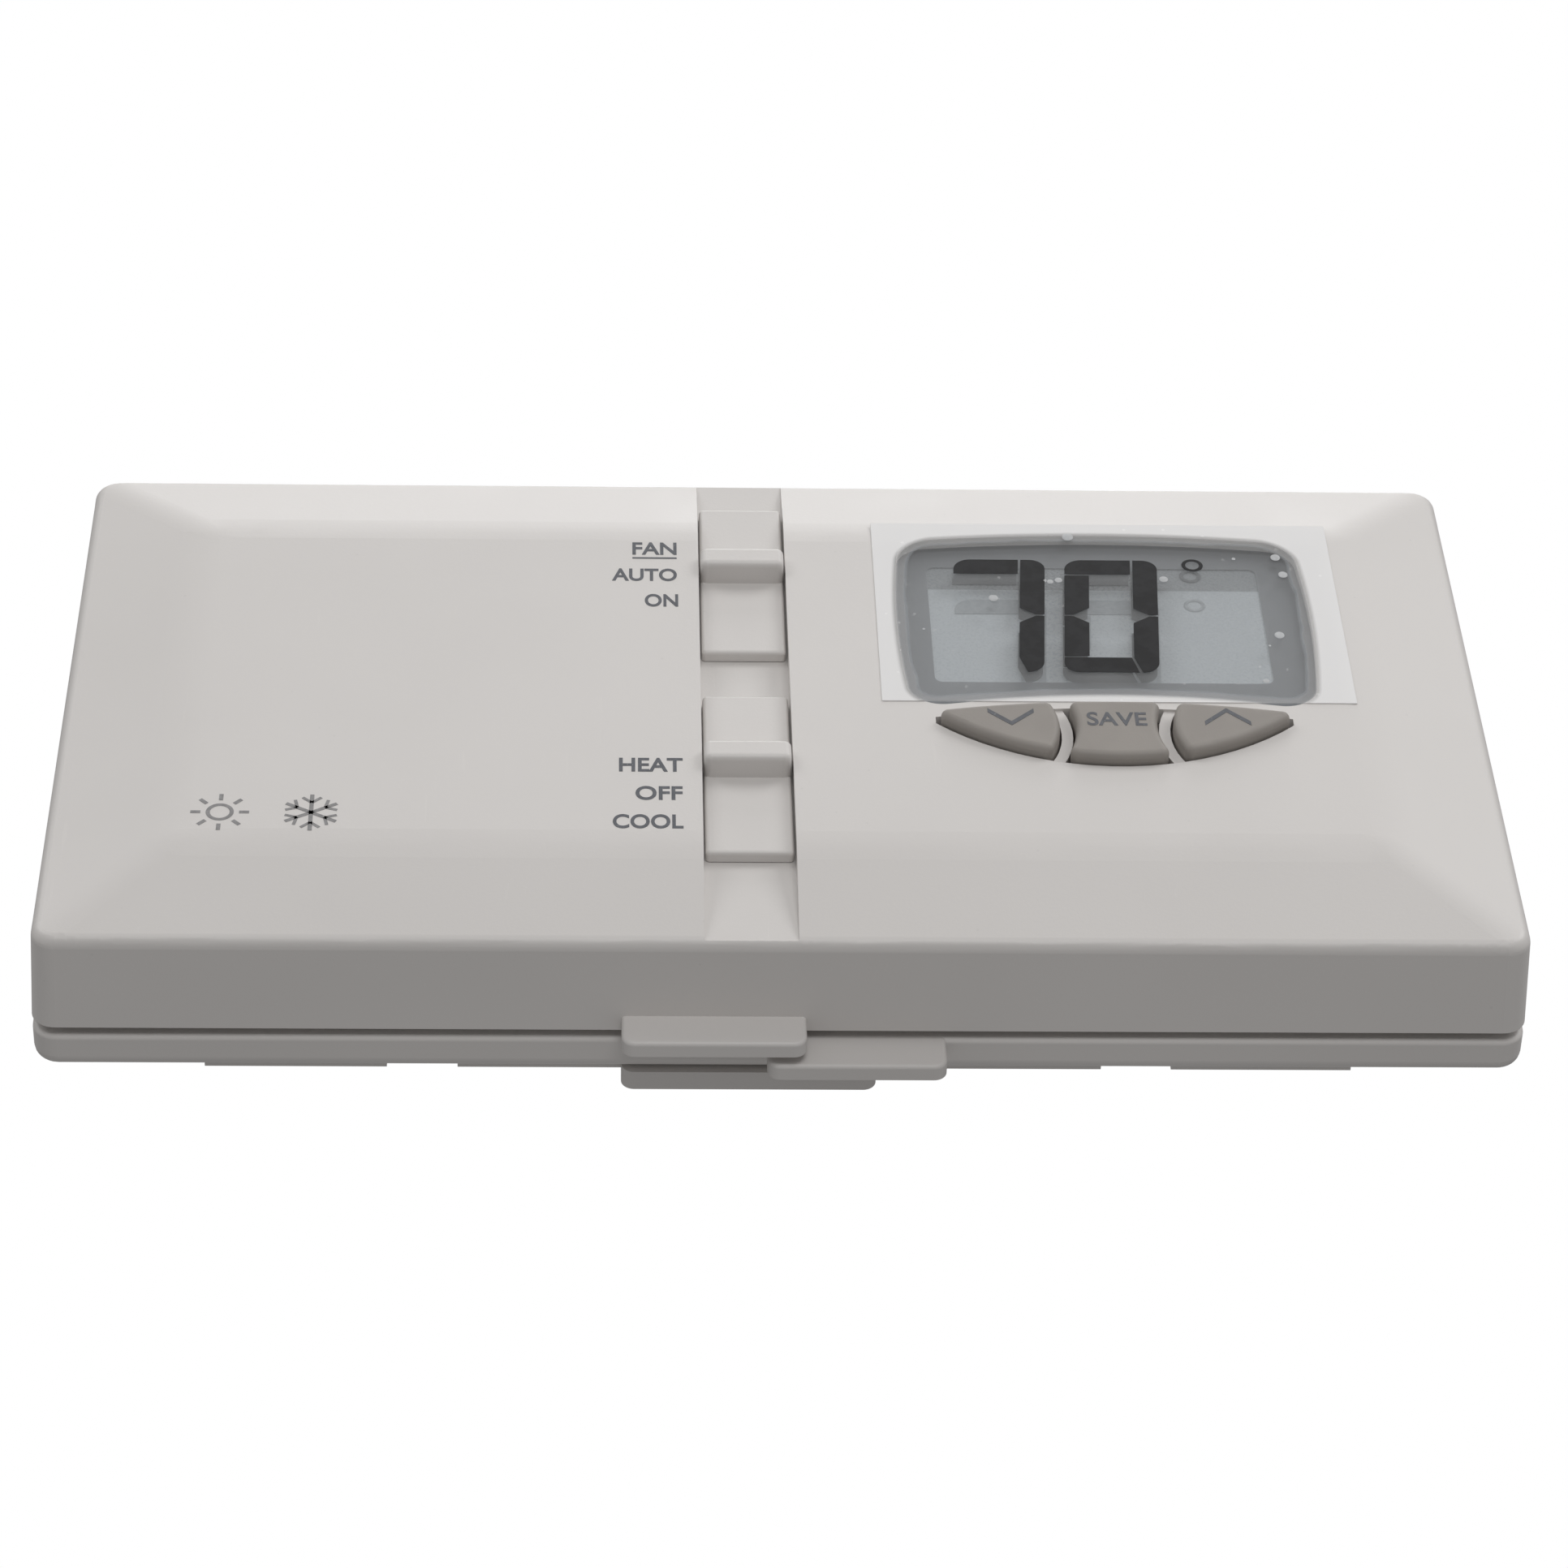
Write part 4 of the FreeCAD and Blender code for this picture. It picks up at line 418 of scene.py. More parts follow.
def clear_film(name):
    """Thin whitish film: nearly opaque white over the face, its own tint plus a painted sheen, nearly clear
    over the lens, to which it clings inside a wobbly line.
    """
    finish = Finish(name)
    wobble = finish.noise(260.0) - 0.5
    lens = window_border(finish)
    away = lens + 1.15 * MM + wobble * (0.9 * MM)
    lifted = away.step(-0.10 * MM, 0.12 * MM)
    line = away.step(-0.22 * MM, -0.02 * MM) * away.step(0.30 * MM, 0.05 * MM)
    # painted sheen: over the face the whitish film is made nearly opaque, so it shows lighter than the face
    # beneath it
    painted_sheen_on_face = lens.step(-0.35 * MM, 0.55 * MM)
    wrinkles = finish.noise(95.0, stretch=(1.0, 1.0, 0.35))
    dust = finish.cells(420.0).step(0.10, 0.06)
    edge = line * (1.0 - painted_sheen_on_face)
    tone = finish.blend(edge, (0.84, 0.83, 0.825), (0.45, 0.47, 0.49))
    alpha = (0.045 + lifted * 0.08 + painted_sheen_on_face * 0.78 + dust * 0.10 + edge * 0.15).low(1.0)
    return finish.surface(tone, 0.12 + lifted * 0.08 + painted_sheen_on_face * 0.25 + dust * 0.2,
                          finish.bump(wrinkles, 0.05 * MM, 0.6), Alpha=alpha, Specular_IOR_Level=0.35)


def bubble_film(name):
    """The same film where an air bubble lifts it: paler and rippled."""
    finish = Finish(name)
    ripple = finish.noise(2500.0)
    return finish.surface((0.62, 0.63, 0.64), 0.40 + ripple * 0.2, finish.bump(ripple, 0.01 * MM),
                          Alpha=0.50 + ripple * 0.25)


def display_glass(name, shade):
    """Liquid crystal glass: grey polariser, darker seal, a painted shadow band along its top, glossy front.
    """
    finish = Finish(name)
    fine = finish.noise(3000.0)
    slow = finish.noise(55.0)
    tone = finish.blend(slow.step(0.3, 0.7), darker(shade, 0.97), darker(shade, 1.03))
    tone = finish.blend(fine.step(0.4, 0.6) * 0.15, tone, darker(shade, 0.85))
    edge = rounded_border(finish, (PANEL_LOW.x, PANEL_LOW.z), (PANEL_HIGH.x, PANEL_HIGH.z), 0.2 * MM)
    seal = edge.step(-1.5 * MM, -1.3 * MM)
    tone = finish.blend(seal, tone, darker(shade, 0.55))
    z = finish.axes()[2]
    # painted shadow: the top band of the glass is darkened where the lens's printed border would shade it
    painted_shadow_band = z.step(SHADOW_BAND_LOW, SHADOW_BAND_LOW + 0.3 * MM)
    tone = finish.blend(painted_shadow_band * 0.9, tone, darker(shade, 0.42))
    return finish.surface(tone, 0.22 + fine * 0.12, finish.bump(fine, 0.002 * MM),
                          Coat_Weight=0.9 + slow * 0.1, Coat_Roughness=0.03)


def shadow_and_reflection_finish(name, shade):
    """Painted shadow and painted reflection of the digits on the display glass: flat, darker than the glass,
    with a soft uneven tone.
    """
    finish = Finish(name)
    patch = finish.noise(1800.0)
    tone = finish.blend(patch.step(0.35, 0.65), darker(shade, 0.94), darker(shade, 1.06))
    return finish.surface(tone, 0.3 + patch * 0.1, finish.bump(patch, 0.002 * MM))


def solder_mask(name, shade):
    """Green board: copper lines under the mask, pads, via holes and key contact pads."""
    finish = Finish(name)
    x, _, z = finish.axes()
    pitch = 1.27 * MM
    whole = 400.0
    row = (z / pitch + whole).fraction()
    column = (x / pitch + whole).fraction()
    block = finish.noise(110.0, 0.0, 0.5)
    runs_across = block.step(0.495, 0.505)
    line_row = (row - 0.5).size().step(0.20, 0.16)
    line_column = (column - 0.5).size().step(0.20, 0.16)
    open_area = finish.noise(70.0, 1.0, 0.5, stretch=(1.0, 1.0, 1.4)).step(0.40, 0.42)
    copper = (line_row * runs_across + line_column * (1.0 - runs_across)) * open_area
    spot = ((row - 0.5) ** 2.0 + (column - 0.5) ** 2.0).root().step(0.34, 0.28)
    via = spot * finish.noise(520.0, 0.0, 0.5).step(0.64, 0.66)
    tone = finish.blend(copper, darker(shade, 0.75), darker(shade, 1.9))
    key_pads = key_contacts(finish, x, z)
    tone = finish.blend(via, tone, (0.55, 0.53, 0.48))
    tone = finish.blend(key_pads, tone, (0.60, 0.42, 0.16))
    metal = (via + key_pads).low(1.0)
    return finish.surface(tone, 0.34 - metal * 0.10 + block * 0.06, finish.bump(copper + via, 0.03 * MM),
                          Metallic=metal * 0.9)


def key_contacts(finish, x, z):
    """Two comb-shaped gold pads under each key's contact pill."""
    radius, tooth_pitch = 2.7 * MM, 0.9 * MM
    pads = 0.0
    for name in KEYS:
        low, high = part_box(f"{name}_pill")
        middle = (low + high) / 2
        away = ((x - middle.x) ** 2.0 + (z - middle.z) ** 2.0).root()
        disc = away.step(radius + 0.05 * MM, radius - 0.05 * MM)
        comb = ((x - middle.x) * (2 * math.pi / tooth_pitch)).wave().step(-0.45, -0.25)
        pads = disc * comb + pads
    return pads


def metal(name, shade, roughness):
    """Bare or plated metal with drawn lines and tarnish."""
    finish = Finish(name)
    lines = finish.noise(1600.0, 2.0, 0.6, stretch=(1.0, 0.15, 1.0))
    tarnish = finish.noise(240.0, 3.0, 0.6)
    tone = finish.blend(tarnish.step(0.35, 0.7), shade, darker(shade, 0.78))
    gloss = roughness + lines * 0.14 + tarnish.step(0.5, 0.8) * 0.12
    return finish.surface(tone, gloss, finish.bump(lines, 0.006 * MM), Metallic=1.0 - tarnish * 0.1)


def dark_plastic(name, shade, roughness):
    """Black moulded parts on the board, dusty, with a fine grain."""
    finish = Finish(name)
    grain_height = finish.noise(3200.0, 2.0, 0.6)
    dust = finish.noise(350.0, 4.0, 0.7).step(0.50, 0.80)
    tone = finish.blend(dust * 0.35, shade, (0.16, 0.155, 0.15))
    gloss = roughness + grain_height * 0.12 + dust * 0.12
    return finish.surface(tone, gloss, finish.bump(grain_height, 0.012 * MM))


def soft_rubber(name, shade, milky=0.1):
    """Moulded rubber with a dull skin, a pale bloom and a little light inside it."""
    finish = Finish(name)
    skin = finish.noise(2200.0, 3.0, 0.6)
    bloom = finish.noise(160.0, 3.0, 0.6)
    bloomed = tuple(channel * 1.25 + 0.02 for channel in shade)
    tone = finish.blend(bloom.step(0.4, 0.75), shade, bloomed)
    return finish.surface(tone, 0.55 + skin * 0.15, finish.bump(skin, 0.01 * MM), Subsurface_Weight=milky,
                          Subsurface_Scale=0.5 * MM)


def cell_wrap(cell, nub_right):
    """Printed shrink wrap on a cell: dark body, warm band at the nub's end, bare metal ends."""
    finish = Finish(f"{cell}_finish")
    low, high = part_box(cell)
    x = finish.axes()[0]
    from_nub = (high.x - x) if nub_right else (x - low.x)
    bare_nub = from_nub.step(1.5 * MM, 1.35 * MM)
    bare_base = from_nub.step(high.x - low.x - 0.35 * MM, high.x - low.x - 0.2 * MM)
    bare = bare_nub.high(bare_base)
    band = from_nub.step(15.0 * MM, 14.9 * MM)
    thin_line = from_nub.step(16.2 * MM, 16.1 * MM) * from_nub.step(15.7 * MM, 15.8 * MM)
    rub = finish.noise(600.0, 3.0, 0.6, stretch=(0.2, 1.0, 1.0)).step(0.60, 0.78)
    wrap = finish.blend(band, (0.035, 0.038, 0.045), (0.55, 0.27, 0.09))
    wrap = finish.blend(thin_line, wrap, (0.75, 0.75, 0.75))
    wrap = finish.blend(rub * 0.2, wrap, (0.45, 0.45, 0.45))
    tone = finish.blend(bare, wrap, (0.70, 0.70, 0.69))
    pucker = finish.noise(420.0, stretch=(1.0, 0.2, 0.2))
    return finish.surface(tone, 0.24 + rub * 0.2, finish.bump(pucker, 0.02 * MM),
                          Metallic=(bare + band * 0.55).low(1.0))


def capacitor_sleeve(name):
    """Dark sleeve with a pale stripe on one side and a bare scored top."""
    finish = Finish(name)
    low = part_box("capacitors")[0]
    x, y, _ = finish.axes()
    top = y.step(low.y + 0.25 * MM, low.y + 0.1 * MM)
    stripe = (x - low.x).step(0.55 * MM, 0.45 * MM)
    scratch = finish.noise(2400.0, 2.0, 0.6)
    tone = finish.blend(stripe, (0.012, 0.016, 0.04), (0.5, 0.5, 0.5))
    tone = finish.blend(top, tone, (0.62, 0.62, 0.62))
    return finish.surface(tone, 0.30 + scratch * 0.15, finish.bump(scratch, 0.01 * MM), Metallic=top * 0.95)


def give(material, *names):
    """Put a finish on CAD nodes."""
    for name in names:
        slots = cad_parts[name].data.materials
        if not slots:
            slots.append(material)
        for index in range(len(slots)):
            slots[index] = material


class THERMOSTAT_OT_finishes(bpy.types.Operator):
    """Give every CAD node its procedural finish"""

    bl_idname = "thermostat.finishes"
    bl_label = "Finishes"

    def execute(self, context):
        cover = moulded_plastic("cover_finish", shade_of("cover"))
        case = moulded_plastic("case_finish", shade_of("case"), roughness=0.46, grain=2100.0)
        give(cover, "front_cover", "fan_slider", "system_slider")
        give(case, "rear_case", "wall_plate")
        give(moulded_plastic("frame_finish", (0.62, 0.62, 0.60), 0.4), "display_frame")
        give(key_rubber("key_finish", shade_of("keys")), *KEYS)
        give(clear_lens("lens_finish"), "display_lens")
        give(clear_film("film_finish"), "protective_film")
        give(display_glass("display_finish", shade_of("crystal")), "display_panel")
        give(solder_mask("board_finish", shade_of("board")), "circuit_board")
        give(dark_plastic("block_finish", (0.022, 0.022, 0.023), 0.42), "terminal_block", "plug_strip",
             "fan_switch_lever", "system_switch_lever")
        give(dark_plastic("relay_finish", (0.030, 0.030, 0.033), 0.36), "relay_fan", "relay_cool",
             "relay_heat")
        give(dark_plastic("chip_finish", (0.020, 0.020, 0.021), 0.50), "microcontroller", "thermistor")
        give(metal("tin_finish", (0.68, 0.68, 0.67), 0.22), "plug_pins", "battery_plates", "crystal",
             "fan_switch", "system_switch")
        give(metal("screw_finish", (0.55, 0.55, 0.54), 0.28), "terminal_screws", "board_screws",
             "battery_springs")
        give(metal("brass_finish", (0.62, 0.46, 0.19), 0.25), "terminal_clamps")
        give(soft_rubber("mat_finish", (0.30, 0.30, 0.29)), "keypad_mat", "display_connectors")
        give(soft_rubber("pill_finish", (0.015, 0.015, 0.015), milky=0.0), *(f"{name}_pill" for name in KEYS))
        give(capacitor_sleeve("capacitor_finish"), "capacitors")
        for name, nub_right in NUB_RIGHT.items():
            give(cell_wrap(name, nub_right), name)
        return {"FINISHED"}


# ---- shaping helpers -------------------------------------------------------------------------

def deselect():
    bpy.ops.object.select_all(action="DESELECT")


def active(piece):
    deselect()
    piece.select_set(True)
    bpy.context.view_layer.objects.active = piece
    return piece


def settle(piece):
    """Put the piece's place into its mesh."""
    active(piece)
    bpy.ops.object.transform_apply(location=True, rotation=True, scale=True)
    return piece


def edit(piece):
    """Open a piece in edit mode with all of it selected."""
    active(piece)
    bpy.ops.object.mode_set(mode="EDIT")
    bpy.ops.mesh.select_all(action="SELECT")


def leave():
    """Leave edit mode."""
    bpy.ops.object.mode_set(mode="OBJECT")


def pick(test):
    """In edit mode, select the vertices for whose place the test says yes."""
    bpy.ops.mesh.select_all(action="DESELECT")
    leave()
    for vertex in bpy.context.object.data.vertices:
        vertex.select = test(vertex.co)
    bpy.ops.object.mode_set(mode="EDIT")


def turn(angle, axis, centre):
    """In edit mode, turn what is selected about an axis through a point."""
    bpy.ops.transform.rotate(value=angle, orient_axis=axis, orient_type="GLOBAL", center_override=centre)


def plate(name, x, z, depth, thick, cuts=(), rounds=()):
    """A thin plate on the plane at a depth: a rectangle, cut by lines, with some corners rounded.

    A cut is a point and the direction that goes away; a round is a corner and its radius."""
    deselect()
    middle = ((x[0] + x[1]) / 2, -depth, (z[0] + z[1]) / 2)
    bpy.ops.mesh.primitive_plane_add(size=1, location=middle, rotation=(math.pi / 2, 0, 0))
    piece = bpy.context.object
    piece.name = name
    piece.scale = (x[1] - x[0], z[1] - z[0], 1)
    settle(piece)
    edit(piece)
    bpy.ops.mesh.select_mode(type="VERT")
    for corner, radius in rounds:
        at = Vector((corner[0], -depth, corner[1]))
        pick(lambda co: (co - at).length < 20 * NEAR)
        bpy.ops.mesh.bevel(offset=radius, offset_type="OFFSET", segments=8, affect="VERTICES")
    for point, gone in cuts:
        bpy.ops.mesh.select_all(action="SELECT")
        bpy.ops.mesh.bisect(plane_co=(point[0], -depth, point[1]), plane_no=(gone[0], 0, gone[1]),
                            clear_outer=True, threshold=NEAR)
    bpy.ops.mesh.select_all(action="SELECT")
    bpy.ops.mesh.extrude_region_move(TRANSFORM_OT_translate={"value": (0, -thick, 0)})
    bpy.ops.mesh.select_all(action="SELECT")
    bpy.ops.mesh.normals_make_consistent(inside=False)
    leave()
    return piece


def joined(pieces, name):
    """Several meshes as one piece."""
    active(pieces[0])
    for piece in pieces:
        piece.select_set(True)
    if len(pieces) > 1:
        bpy.ops.object.join()
    piece = bpy.context.object
    piece.name = name
    piece.data.name = name
    return piece


def finished(piece, material, body):
    """Colour a piece and let it ride."""
    piece.data.materials.clear()
    piece.data.materials.append(material)
    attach(piece, body)
    return piece


# size of the plain face over the height of its capitals
FONT_SHARE = 1.4


def word(name, text, x, z, depth, thick, bold):
    """A word in a plain face, fitted between two x and two heights."""
    deselect()
    bpy.ops.object.text_add(location=(0, 0, 0), rotation=(math.pi / 2, 0, 0))
    piece = bpy.context.object
    piece.name = name
    piece.data.body = text
    piece.data.size = (z[1] - z[0]) * FONT_SHARE
    piece.data.offset = bold
    piece.data.extrude = thick / 2
    piece.data.resolution_u = 6
    bpy.ops.object.convert(target="MESH")
    settle(piece)
    co = [vertex.co for vertex in piece.data.vertices]
    low = Vector(map(min, zip(*co)))
    high = Vector(map(max, zip(*co)))
    piece.scale = ((x[1] - x[0]) / (high.x - low.x), 1, (z[1] - z[0]) / (high.z - low.z))
    piece.location = (x[0] - low.x * piece.scale.x, -depth - thick / 2, z[0] - low.z * piece.scale.z)
    settle(piece)
    edit(piece)
    bpy.ops.mesh.remove_doubles(threshold=NEAR)
    leave()
    return piece


def ring(name, middle, radius, stroke, depth, thick):
    """A flat ring on the plane at a depth."""
    deselect()
    bpy.ops.mesh.primitive_torus_add(location=(middle[0], -depth - thick / 2, middle[1]),
                                     rotation=(math.pi / 2, 0, 0), major_segments=40, minor_segments=10,
                                     major_radius=radius - stroke / 2, minor_radius=stroke / 2)
    piece = bpy.context.object
    piece.name = name
    piece.scale = (1, 1, thick / stroke)
    return settle(piece)


def turned_copies(piece, count, middle):
    """A flat piece of the face and its copies, turned in even steps about a point."""
    copies = [piece]
    for index in range(1, count):
        active(piece)
        bpy.ops.object.duplicate(linked=False)
        copies.append(bpy.context.object)
        edit(copies[-1])
        turn(2 * math.pi * index / count, "Y", (middle[0], -FACE_DEPTH, middle[1]))
        leave()
    return copies


# ---- markings on the face --------------------------------------------------------------------

# each legend's word, height, left end and right end in millimetres
LEGENDS = (("FAN", 23.8, -14.8, -10.1), ("AUTO", 18.9, -16.95, -10.1), ("ON", 14.2, -13.5, -10.0),
           ("HEAT", -14.6, -16.15, -9.75), ("OFF", -19.3, -14.5, -9.8), ("COOL", -23.95, -16.75, -9.75))


def mark(piece, ink, body="cover"):
    """Ink a printed piece and let it ride on what it is printed on."""
    return finished(piece, ink, body)


class THERMOSTAT_OT_legends(bpy.types.Operator):
    """Print the slider legends on the face"""

    bl_idname = "thermostat.legends"
    bl_label = "Legends"

    def execute(self, context):
        sizes = chosen("markings")
        ink = printed_ink("legend_ink", shade_of("ink"))
        half, shift, thick = sizes.legend_height / 2, sizes.legend_shift, sizes.print_thick
        for text, height, left, right in LEGENDS:
            mark(word(f"legend_{text.lower()}", text, (left * MM + shift, right * MM + shift),
                      (height * MM - half, height * MM + half), FACE_DEPTH, thick, bold=0.07 * MM), ink)
        _, height, left, right = LEGENDS[0]
        line, half_stroke = height * MM - half - sizes.line_drop, 0.13 * MM
        mark(plate("legend_fan_line", (left * MM + shift, right * MM + shift),
                   (line - half_stroke, line + half_stroke), FACE_DEPTH, thick), ink)
        return {"FINISHED"}


class THERMOSTAT_OT_icons(bpy.types.Operator):
    """Print a plain sun and a plain snowflake on the face"""

    bl_idname = "thermostat.icons"
    bl_label = "Icons"

    def execute(self, context):
        sizes = chosen("markings")
        ink = printed_ink("icon_ink", shade_of("icon_ink"))
        radius, half = sizes.icon_radius, sizes.icon_stroke / 2
        thick = sizes.print_thick

        def spoke(middle, low, high, half_wide):
            """An upright stroke above an icon's middle, between two shares of the icon's radius."""
            return plate("spoke", (middle[0] - half_wide, middle[0] + half_wide),
                         (middle[1] + radius * low, middle[1] + radius * high), FACE_DEPTH, thick)

        middle = (sizes.icon_left, sizes.icon_height)
        rays = turned_copies(spoke(middle, 0.66, 1.0, half), 8, middle)
        disc = ring("disc", middle, radius * 0.48, sizes.icon_stroke, FACE_DEPTH, thick)
        mark(joined([disc, *rays], "sun_icon"), ink)
        middle = (sizes.icon_right, sizes.icon_height)
        arm = [spoke(middle, 0.0, 1.0, half)]
        for side in (-1, 1):
            twig = spoke(middle, 0.55, 0.98, half * 0.8)
            edit(twig)
            turn(side * math.radians(48), "Y", (middle[0], -FACE_DEPTH, middle[1] + radius * 0.55))
            leave()
            arm.append(twig)
        mark(joined(turned_copies(joined(arm, "arm"), 6, middle), "snow_icon"), ink)
        return {"FINISHED"}


class THERMOSTAT_OT_key_marks(bpy.types.Operator):
    """Print the word and the two arrowheads on the keys"""

    bl_idname = "thermostat.key_marks"
    bl_label = "Key marks"

    def execute(self, context):
        sizes = chosen("markings")
        ink = printed_ink("key_ink", shade_of("ink"))
        for name in KEYS:
            low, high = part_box(name)
            depth = -low.y
            if name in ARROWS:
                piece = arrowhead(*ARROWS[name], depth, sizes)
            else:
                middle, half = (low.x + high.x) / 2, sizes.save_width / 2
                piece = word("key_mark_save", "SAVE", (middle - half, middle + half),
                             (sizes.save_low, sizes.save_low + sizes.save_height), depth, sizes.print_thick,
                             bold=0.05 * MM)
            mark(piece, ink, KEY_BODIES[name])
        return {"FINISHED"}


# each arrow key's way, and its mark's middle, point's height and ends' height in millimetres
ARROWS = {"button_down": ("down", 23.65, -8.65, -6.45), "button_up": ("up", 45.7, -6.2, -8.45)}


def arrowhead(way, middle, point, ends, depth, sizes):
    """A V of two strokes that points down or up."""
    middle, half = middle * MM, sizes.arrow_width / 2
    low, high = sorted((point * MM, ends * MM))
    piece = plate(f"key_mark_{way}", (middle - half, middle + half), (low - sizes.arrow_stroke, low), depth,
                  sizes.print_thick)
    edit(piece)
    bpy.ops.mesh.bisect(plane_co=(middle, 0, 0), plane_no=(1, 0, 0), use_fill=False, threshold=NEAR)
    pick(lambda co: (abs(co.x - middle) > half / 2) == (way == "down"))
    bpy.ops.transform.translate(value=(0, 0, high - low))
    leave()
    return piece


# ---- display ---------------------------------------------------------------------------------

class THERMOSTAT_OT_digits(bpy.types.Operator):
    """Print the sample digits and the degree ring on the film"""

    bl_idname = "thermostat.digits"
    bl_label = "Digits"

    def execute(self, context):
        sizes = chosen("display")
        ink = digit_ink("digit_ink", shade_of("digit"))
        for name, left, right, bars in DIGITS:
            mark(digit(name, (left * MM, right * MM), bars.split(), sizes), ink)
        middle = (DEGREE_PLACE[0] * MM, DEGREE_PLACE[1] * MM)
        mark(ring("degree_ring", middle, sizes.degree_radius, sizes.degree_stroke, FILM_DEPTH,
                  chosen("markings").print_thick), ink)
        return {"FINISHED"}


# each digit's left and right ends in millimetres, and its bars
DIGITS = (("seven", 18.7, 28.4, "top right_top right_low"),
          ("zero", 30.5, 40.35, "top left_top left_low right_top right_low bottom"))
# x and height of the degree ring's middle in millimetres
DEGREE_PLACE = (44.75, 21.2)
# a digit's shapes in shares of its stroke: the rise of the cut beside the bottom bar, how far in the upright
# bars' points lie, and how far their outer and inner shoulders stand off the points
FOOT_RISE, POINT_IN, OUTER_SHOULDER, INNER_SHOULDER = 0.31, 0.36, 0.28, 0.46


def digit(name, x, bars, sizes):
    """A slanted seven-bar digit whose bars meet at thin gaps and whose outer corners are round."""
    stroke, gap, corner = sizes.digit_stroke, sizes.digit_gap, sizes.digit_corner
    low, high = sizes.digit_low, sizes.digit_high
    middle = (low + high) / 2
    left, right = x
    inner_right = right - stroke
    pieces = []

    def bar(across, along, cuts, rounds):
        pieces.append(plate("bar", sorted(across), sorted(along), FILM_DEPTH, chosen("markings").print_thick,
                            cuts, [(place, corner) for place in rounds]))

    if "top" in bars:
        bar((left, inner_right - gap), (high - stroke, high), [], [(left, high)])
    if "bottom" in bars:
        cut = ((inner_right - gap, low + stroke), (stroke, FOOT_RISE * stroke))
        bar((left, right), (low, low + stroke), [cut], [(left, low)])
    for upright in bars:
        side, _, half = upright.partition("_")
        if not half:
            continue
        outer, inner = (right, inner_right) if side == "right" else (left, left + stroke)
        up, far = (1, high) if half == "top" else (-1, low)
        if side == "left":
            far -= up * (stroke + gap)
        tip = Vector((outer + (inner - outer) * POINT_IN, middle + up * gap * 0.6))
        cuts = []
        for edge, rise in ((outer, OUTER_SHOULDER), (inner, INNER_SHOULDER)):
            shoulder = Vector((edge, tip.y + up * stroke * rise))
            across = (shoulder - tip).orthogonal()
            cuts.append((tip, across if across.y * up < 0 else -across))
        if upright == "right_low":
            cuts.append(((inner, low + stroke), (-stroke, -FOOT_RISE * stroke)))
        bar((outer, inner), (tip.y, far), cuts, [(outer, far)] if side == "right" else [])
    piece = joined(pieces, f"digit_{name}")
    lean(piece, sizes.digit_slant, middle)
    return piece


def lean(piece, slant, middle):
    """Lean an upright flat piece to the right about a height: a turn, a stretch and a turn back."""
    stretch = (math.hypot(slant, 2) + slant) / 2
    piece.rotation_euler.y = math.atan2(2 * slant, -slant ** 2) / 2
    settle(piece)
    piece.scale = (stretch, 1, 1 / stretch)
    piece.rotation_euler.y = -math.atan2(2 * slant, slant ** 2) / 2
    piece.location.x = -slant * middle
    settle(piece)


class THERMOSTAT_OT_painted_shadow_and_reflection(bpy.types.Operator):
    """Paint the digits' shadow on the display glass, and a fainter painted reflection of them below"""

    bl_idname = "thermostat.segments"
    bl_label = "Crystal segments"

    def execute(self, context):
        sizes = chosen("display")
        crystal = shade_of("crystal")
        # painted shadow of the digits, then their painted reflection, as dark copies lying just in front of
        # the glass
        for kind, share, rise, ahead in (("segment", 0.24, sizes.segment_rise, 0.06 * MM),
                                         ("echo", 0.66, sizes.echo_rise, 0.02 * MM)):
            shade = shadow_and_reflection_finish(f"{kind}_finish", darker(crystal, share))
            for source in ("digit_seven", "digit_zero", "degree_ring"):
                active(bpy.data.objects[source])
                bpy.ops.object.duplicate(linked=False)
                copy = bpy.context.object
                copy.parent = None
                copy.matrix_world = Matrix.Translation((0, PANEL_LOW.y - ahead - FILM_LOW.y, rise))
                settle(copy)
                copy.name = copy.data.name = f"{kind}_{source}"
                finished(copy, shade, "case")
        return {"FINISHED"}


# each bubble's x, height and radius in millimetres
BUBBLES = ((31.8, 26.4, 0.60), (53.8, 22.8, 0.52), (54.3, 19.6, 0.50), (52.8, 8.5, 0.52), (41.5, 18.6, 0.46),
           (23.2, 14.9, 0.50), (30.3, 18.3, 0.40), (29.4, 18.0, 0.34), (28.8, 18.2, 0.24), (49.3, 22.5, 0.20),
           (50.6, 0.3, 0.34), (31.3, 16.6, 0.18), (15.6, 9.2, 0.14), (51.6, 6.6, 0.14))


# a bubble's height off the film and its length up the face, over its radius
BUBBLE_RISE, BUBBLE_TALL = 0.14, 1.15


class THERMOSTAT_OT_bubbles(bpy.types.Operator):
    """Raise the small air bubbles in the film"""

    bl_idname = "thermostat.bubbles"
    bl_label = "Bubbles"

    def execute(self, context):
        pieces = []
        for x, z, radius in BUBBLES:
            deselect()
            bpy.ops.mesh.primitive_uv_sphere_add(segments=20, ring_count=10, radius=radius * MM,
                                                 location=(x * MM, FILM_LOW.y, z * MM))
            piece = bpy.context.object
            piece.scale = (1, BUBBLE_RISE, BUBBLE_TALL)
            settle(piece)
            edit(piece)
            bpy.ops.mesh.bisect(plane_co=(0, FILM_LOW.y + 0.01 * MM, 0), plane_no=(0, 1, 0), use_fill=True,
                                clear_outer=True, threshold=NEAR)
            leave()
            bpy.ops.object.shade_smooth_by_angle(angle=math.radians(40))
            pieces.append(piece)
        finished(joined(pieces, "film_bubbles"), bubble_film("bubble_finish"), "cover")
        return {"FINISHED"}


# ---- inside the case -------------------------------------------------------------------------

